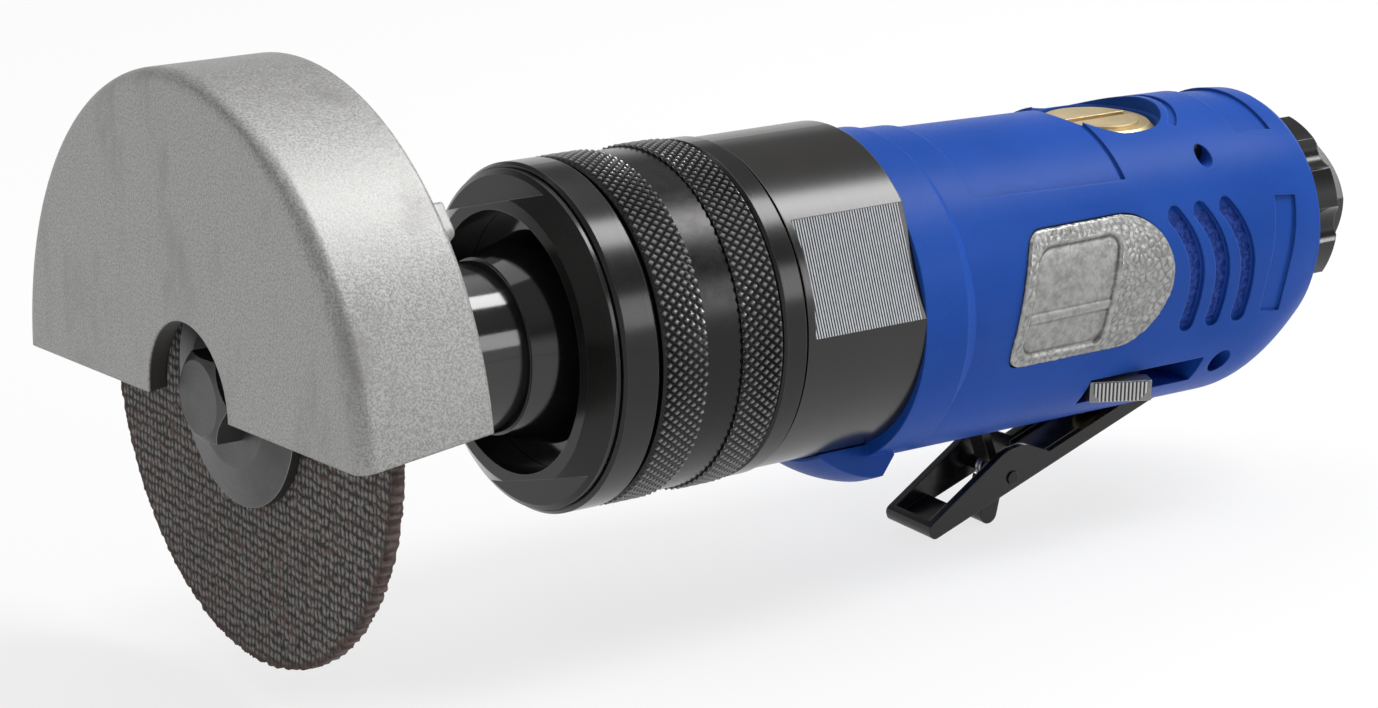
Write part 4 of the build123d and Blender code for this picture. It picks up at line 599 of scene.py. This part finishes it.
def badge_relief(x, z):
    """The height of the cast surface over the plain plate: pebbles outside the sunk panel."""
    distances, _ = noise.voronoi(Vector((x, z, 0)) / pebble_size)
    pebble = min(1.0, 1.6 * (distances[1] - distances[0])) ** 0.6
    rise_share = 2 * (z - panel_center.y) / (badge_high.z - badge_low.z)
    slanted = x - panel_center.x - badge_slant / 2 * rise_share + panel_bow * (1 - rise_share**2)
    offset = Vector((abs(slanted), abs(z - panel_center.y))) - panel_half
    corner = Vector((max(offset.x + panel_corner, 0.0), max(offset.y + panel_corner, 0.0)))
    outside = corner.length + min(max(offset.x, offset.y) + panel_corner, 0.0) - panel_corner
    rise = min(1.0, max(0.0, outside / panel_slope + 0.5))
    rise = rise * rise * (3 - 2 * rise)
    bar = 0.4 * min(1.0, max(0.0, 2 - abs(z - panel_bar_z) / panel_bar_half))
    fine = 0.02 * mm * noise.noise(Vector((x, z, 5 * mm)) / (0.4 * mm))
    return rise * pebble_height * pebble - (1 - rise) * (1 - bar) * panel_depth + fine


badge_tree = BVHTree.FromObject(nodes["badge_plate"], bpy.context.evaluated_depsgraph_get())


def badge_surface(x, z):
    """The plate's outer surface and its facing at a place on the side, or just inside its edge."""
    middle = Vector(((badge_low.x + badge_high.x) / 2, 2 * badge_low.y, (badge_low.z + badge_high.z) / 2))
    for pull in badge_pulls:
        start = Vector((x, 2 * badge_low.y, z)).lerp(middle, pull)
        hit, facing, _, _ = badge_tree.ray_cast(start, Vector((0, 1, 0)))
        if hit and facing.y < -0.3:
            return Vector((x, hit.y, z)), facing


def badge_ends(z):
    """The plate's front and rear X at a height, met by rays along the plate just under its skin."""
    middle_x = (badge_low.x + badge_high.x) / 2
    skin = badge_tree.ray_cast(Vector((middle_x, 2 * badge_low.y, z)), Vector((0, 1, 0)))[0]
    depth = skin.y + badge_edge_depth
    front = badge_tree.ray_cast(Vector((badge_low.x - mm, depth, z)), Vector((1, 0, 0)))[0]
    rear = badge_tree.ray_cast(Vector((badge_high.x + mm, depth, z)), Vector((-1, 0, 0)))[0]
    return front.x + badge_inset, rear.x - badge_inset


badge_rows = round((badge_high.z - badge_low.z) / badge_step)
badge_columns = round((badge_high.x - badge_low.x) / badge_step)
badge_points = []
for row in range(badge_rows + 1):
    z = badge_low.z + badge_inset + (badge_high.z - badge_low.z - 2 * badge_inset) * row / badge_rows
    front, rear = badge_ends(z)
    for column in range(badge_columns + 1):
        x = front + (rear - front) * column / badge_columns
        spot, facing = badge_surface(x, z)
        badge_points.append(spot + facing * badge_relief(x, z))
badge_width = badge_columns + 1
badge_faces = []
for row in range(badge_rows):
    for column in range(badge_columns):
        start = row * badge_width + column
        badge_faces.append((start, start + 1, start + badge_width + 1, start + badge_width))
rim = list(range(badge_width))
rim += [row * badge_width + badge_columns for row in range(1, badge_rows + 1)]
rim += [badge_rows * badge_width + k for k in range(badge_columns - 1, -1, -1)]
rim += [row * badge_width for row in range(badge_rows - 1, 0, -1)]
skirt_start = len(badge_points)
badge_points += [badge_points[k] + Vector((0, badge_skirt, 0)) for k in rim]
for k in range(len(rim)):
    after = (k + 1) % len(rim)
    badge_faces.append((rim[after], rim[k], skirt_start + k, skirt_start + after))
cast_badge, tree, shader = new_finish("cast_badge", (0.4, 0.4, 0.39), 0.9, 0.36)
vector = object_axes(tree)[0]
cast_noise = noise_at(tree, vector, 700.0, 4.0, 0.65)
hollow = tree.nodes.new("ShaderNodeNewGeometry")
# The cast surface is coloured darker where it is hollow, between the pebbles and in the sunk panels.
hollow_darkening = rescale(tree, hollow.outputs["Pointiness"], 0.44, 0.52)
bright_cast = blend_color(tree, rescale(tree, cast_noise, 0.3, 0.7), (0.27, 0.27, 0.265), (0.43, 0.43, 0.42))
tree.links.new(blend_color(tree, hollow_darkening, (0.06, 0.06, 0.057), bright_cast), shader.inputs["Base Color"])
raise_bump(tree, shader, cast_noise, 0.03 * mm)
cast_plate = mesh_piece("cast_plate", badge_points, badge_faces, "housing", cast_badge)
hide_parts("badge_plate")

# Valve: a brass sleeve turned with its ports, a slotted brass cap and the throttle's stem.
# The sleeve shows through the window in the grip's top.
turned_brass = turned_metal("turned_brass", (0.74, 0.58, 0.31), (0.88, 0.74, 0.45), 0.75, 0.4, lines=3500.0)
dress(turned_brass, "reverse_sleeve", "valve_cap", "throttle_stem", "inlet_screen")

# Reverse lever: a grey cast arm clamped on the sleeve's shank, its tab cut with upright serrations.
# The tab slides in the slot in the grip's side.
sleeve_low, sleeve_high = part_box("reverse_sleeve")
valve_x = (sleeve_low.x + sleeve_high.x) / 2
tab_reach = 20.0 * mm
tab_half_width = 4.8 * mm
tab_bevel = 1.8 * mm
tab_rest = math.radians(-115.0)
rib_pitch = 0.6 * mm
rib_depth = 0.28 * mm
rib_inset = 0.15 * mm
grey_cast = turned_metal("grey_cast", (0.26, 0.26, 0.26), (0.5, 0.5, 0.5), 0.85, 0.38)
dress(grey_cast, "reverse_lever")
arm = Vector((math.cos(tab_rest), math.sin(tab_rest), 0))
tab_side = Vector((0, 0, 1)).cross(arm)
tab_low, tab_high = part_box("reverse_lever")
rib_spans = []
rib_count = int(2 * (tab_half_width - rib_inset) / rib_pitch)
for k in range(rib_count):
    from_middle = abs((k - (rib_count - 1) / 2) * rib_pitch)
    cut_away = max(0.0, from_middle - (tab_half_width - tab_bevel))
    rib_spans.append((tab_low.z + rib_inset + cut_away, tab_high.z - rib_inset))
first_rib = Vector((valve_x, 0, 0)) + arm * tab_reach - tab_side * ((rib_count - 1) / 2 * rib_pitch)
serrated_cast, tree, shader = new_finish("serrated_cast", (0.4, 0.4, 0.4), 0.85, 0.36)
vector, along, across, _ = object_axes(tree)
from_first = calc(tree, "MULTIPLY", calc(tree, "SUBTRACT", along, first_rib.x), tab_side.x)
from_side = calc(tree, "MULTIPLY", calc(tree, "SUBTRACT", across, first_rib.y), tab_side.y)
past_first = calc(tree, "ADD", from_first, from_side)
# Painted shade and highlight: the serrations are coloured near black in their valleys and light grey on their
# crests.
tooth = calc(tree, "PINGPONG", calc(tree, "DIVIDE", past_first, rib_pitch), 0.5)
rib_shaded_color = blend_color(tree, rescale(tree, tooth, 0.1, 0.4), (0.06, 0.06, 0.06), (0.62, 0.62, 0.62))
tree.links.new(rib_shaded_color, shader.inputs["Base Color"])
raise_bump(tree, shader, noise_at(tree, vector, 1500.0, 3.0), 0.01 * mm)
ridged_sheet("reverse_tab_ribs", first_rib, tab_side, Vector((0, 0, 1)), rib_spans,
             rib_pitch, rib_depth, "reverse_valve", serrated_cast)

# Throttle lever and safety catch: pressed from steel sheet, folded and dipped in gloss black.
# The catch swings on a riveted pin and props the lever open until it is pushed clear.
dipped_black, tree, shader = new_finish("dipped_black", (0.012, 0.011, 0.011), 0.0, 0.2)
shader.inputs["IOR"].default_value = 1.45
vector = object_axes(tree)[0]
orange_peel = noise_at(tree, vector, 500.0, 2.0)
edges = put(tree, soft_edge, Radius=0.3 * mm)
# The lever's edges are coloured dark grey: partly worn paint, partly a painted highlight.
worn_lit_edge_share = calc(tree, "MULTIPLY", edges["Edge"], 0.5)
worn_lit_edge_color = blend_color(tree, worn_lit_edge_share, (0.012, 0.011, 0.011), (0.07, 0.068, 0.066))
tree.links.new(worn_lit_edge_color, shader.inputs["Base Color"])
tree.links.new(rescale(tree, orange_peel, 0.3, 0.7, 0.16, 0.26), shader.inputs["Roughness"])
raise_bump(tree, shader, orange_peel, 0.015 * mm, edges["Normal"])
dress(dipped_black, "throttle_lever", "safety_catch")

# Rear end: the scalloped deflector ring and the hexagon inlet bushing, both blackened steel.
# The bushing is tapped for the air fitting, and the deflector turns under its head.
inlet_oxide = turned_metal("inlet_oxide", (0.012, 0.0115, 0.011), (0.2, 0.2, 0.2), 0.25, 0.2, lines=2500.0)
dress(inlet_oxide, "exhaust_deflector", "inlet_bushing")
bore_radius = 5.7 * mm
thread_pitch = 1.411 * mm
thread_depth = 0.5 * mm
thread_length = 12.5 * mm
thread_start = 0.8 * mm
thread_steps = 48
thread_points = []
thread_rows = round(thread_length / thread_pitch) * thread_steps
for row in range(thread_rows + 1):
    turn = row / thread_steps
    center = -thread_start - turn * thread_pitch
    fade = min(1.0, turn, thread_rows / thread_steps - turn)
    for offset, rise in ((-0.45, -0.02), (-0.06, fade), (0.06, fade), (0.45, -0.02)):
        r = bore_radius - rise * thread_depth
        angle = math.tau * turn
        thread_points.append((center + offset * thread_pitch, r * math.cos(angle), r * math.sin(angle)))
thread_faces = tube_faces(thread_rows + 1)
mesh_piece("inlet_thread", thread_points, thread_faces, "housing", inlet_oxide)

# Studio: a pale floor that stays bright under a soft shadow, a tall soft box high on the right,
# weaker ones on the left, low on the right and overhead, and a dim sky. Where the sky is seen or
# mirrored, it is a pale backdrop that darkens upward.
def seen_share(tree):
    """1 for rays that the camera sees straight, mirrored or through glass, and 0 for light."""
    path = tree.nodes.new("ShaderNodeLightPath")
    straight = calc(tree, "MAXIMUM", path.outputs["Is Camera Ray"], path.outputs["Is Glossy Ray"])
    return calc(tree, "MAXIMUM", straight, path.outputs["Is Transmission Ray"])


floor_glow = 0.75
floor_height = cad_low.z - 0.3 * mm
floor_mesh = bpy.data.meshes.new("floor")
floor_size = 6.0
floor_mesh.from_pydata(
    [(-floor_size, -floor_size, floor_height), (floor_size, -floor_size, floor_height),
     (floor_size, floor_size, floor_height), (-floor_size, floor_size, floor_height)],
    [], [(0, 1, 2, 3)],
)
floor = bpy.data.objects.new("floor", floor_mesh)
bpy.context.scene.collection.objects.link(floor)
pale_floor, tree, shader = new_finish("pale_floor", (0.9, 0.9, 0.9), 0.0, 0.9)
glow = tree.nodes.new("ShaderNodeEmission")
glow.inputs["Strength"].default_value = 1.0
cover = tree.nodes.new("ShaderNodeMixShader")
tree.links.new(calc(tree, "MULTIPLY", seen_share(tree), floor_glow), cover.inputs["Fac"])
tree.links.new(shader.outputs[0], cover.inputs[1])
tree.links.new(glow.outputs[0], cover.inputs[2])
tree.links.new(cover.outputs[0], tree.nodes["Material Output"].inputs["Surface"])
floor_mesh.materials.append(pale_floor)


def soft_box(name, place, aim, width, height, power):
    """A rectangular area lamp that points at a spot."""
    lamp = bpy.data.lights.new(name, "AREA")
    lamp.shape = "RECTANGLE"
    lamp.size = width
    lamp.size_y = height
    lamp.energy = power
    holder = bpy.data.objects.new(name, lamp)
    bpy.context.scene.collection.objects.link(holder)
    holder.location = place
    holder.rotation_mode = "QUATERNION"
    holder.rotation_quaternion = (Vector(aim) - Vector(place)).to_track_quat("-Z", "Y")


tool_middle = (-0.1, 0, 0)
soft_box("key_box", (0.5, -0.2, 0.9), tool_middle, 0.3, 0.7, 8.5)
soft_box("left_box", (-0.9, -0.25, 0.4), tool_middle, 0.5, 0.6, 0.25)
soft_box("right_box", (0.45, -0.75, 0.35), tool_middle, 0.3, 0.3, 1.3)
soft_box("top_box", (-0.1, 0.35, 1.0), tool_middle, 1.2, 0.8, 4)

world = bpy.data.worlds.new("studio")
bpy.context.scene.world = world
world.use_nodes = True
sky = world.node_tree
direction = sky.nodes.new("ShaderNodeTexCoord")
sky_axes = sky.nodes.new("ShaderNodeSeparateXYZ")
sky.links.new(direction.outputs["Generated"], sky_axes.inputs[0])
background = sky.nodes["Background"]
sky_light = rescale(sky, sky_axes.outputs[2], 0.0, 0.8, 0.06, 0.35)
backdrop = rescale(sky, sky_axes.outputs[2], 0.15, 0.45, 1.0, 0.2)
seen = seen_share(sky)
light_part = calc(sky, "MULTIPLY", sky_light, calc(sky, "SUBTRACT", 1.0, seen))
seen_part = calc(sky, "MULTIPLY", calc(sky, "MAXIMUM", sky_light, backdrop), seen)
sky.links.new(calc(sky, "ADD", light_part, seen_part), background.inputs["Strength"])
background.inputs["Color"].default_value = (1, 1, 1, 1)

# Camera: stands in front and to the left of the tool, a little above it, as the photograph's did.
# Its place and turn were fitted to the tool's outline.
camera_place = Vector((-0.4099, -0.3980, 0.1449))
camera_forward = Vector((0.5594, 0.7746, -0.2951))
camera_right = Vector((0.8141, -0.5803, 0.0198))
lens_focus = 94.05
camera_data = bpy.data.cameras.new("camera")
camera_data.sensor_width = 36.0
camera_data.lens = lens_focus
camera_data.clip_start = 0.01
camera = bpy.data.objects.new("camera", camera_data)
bpy.context.scene.collection.objects.link(camera)
camera_up = camera_right.cross(camera_forward)
turn = Matrix((camera_right, camera_up, -camera_forward)).transposed().to_4x4()
camera.matrix_world = Matrix.Translation(camera_place) @ turn
bpy.context.scene.camera = camera
bpy.context.scene.view_settings.view_transform = "Standard"
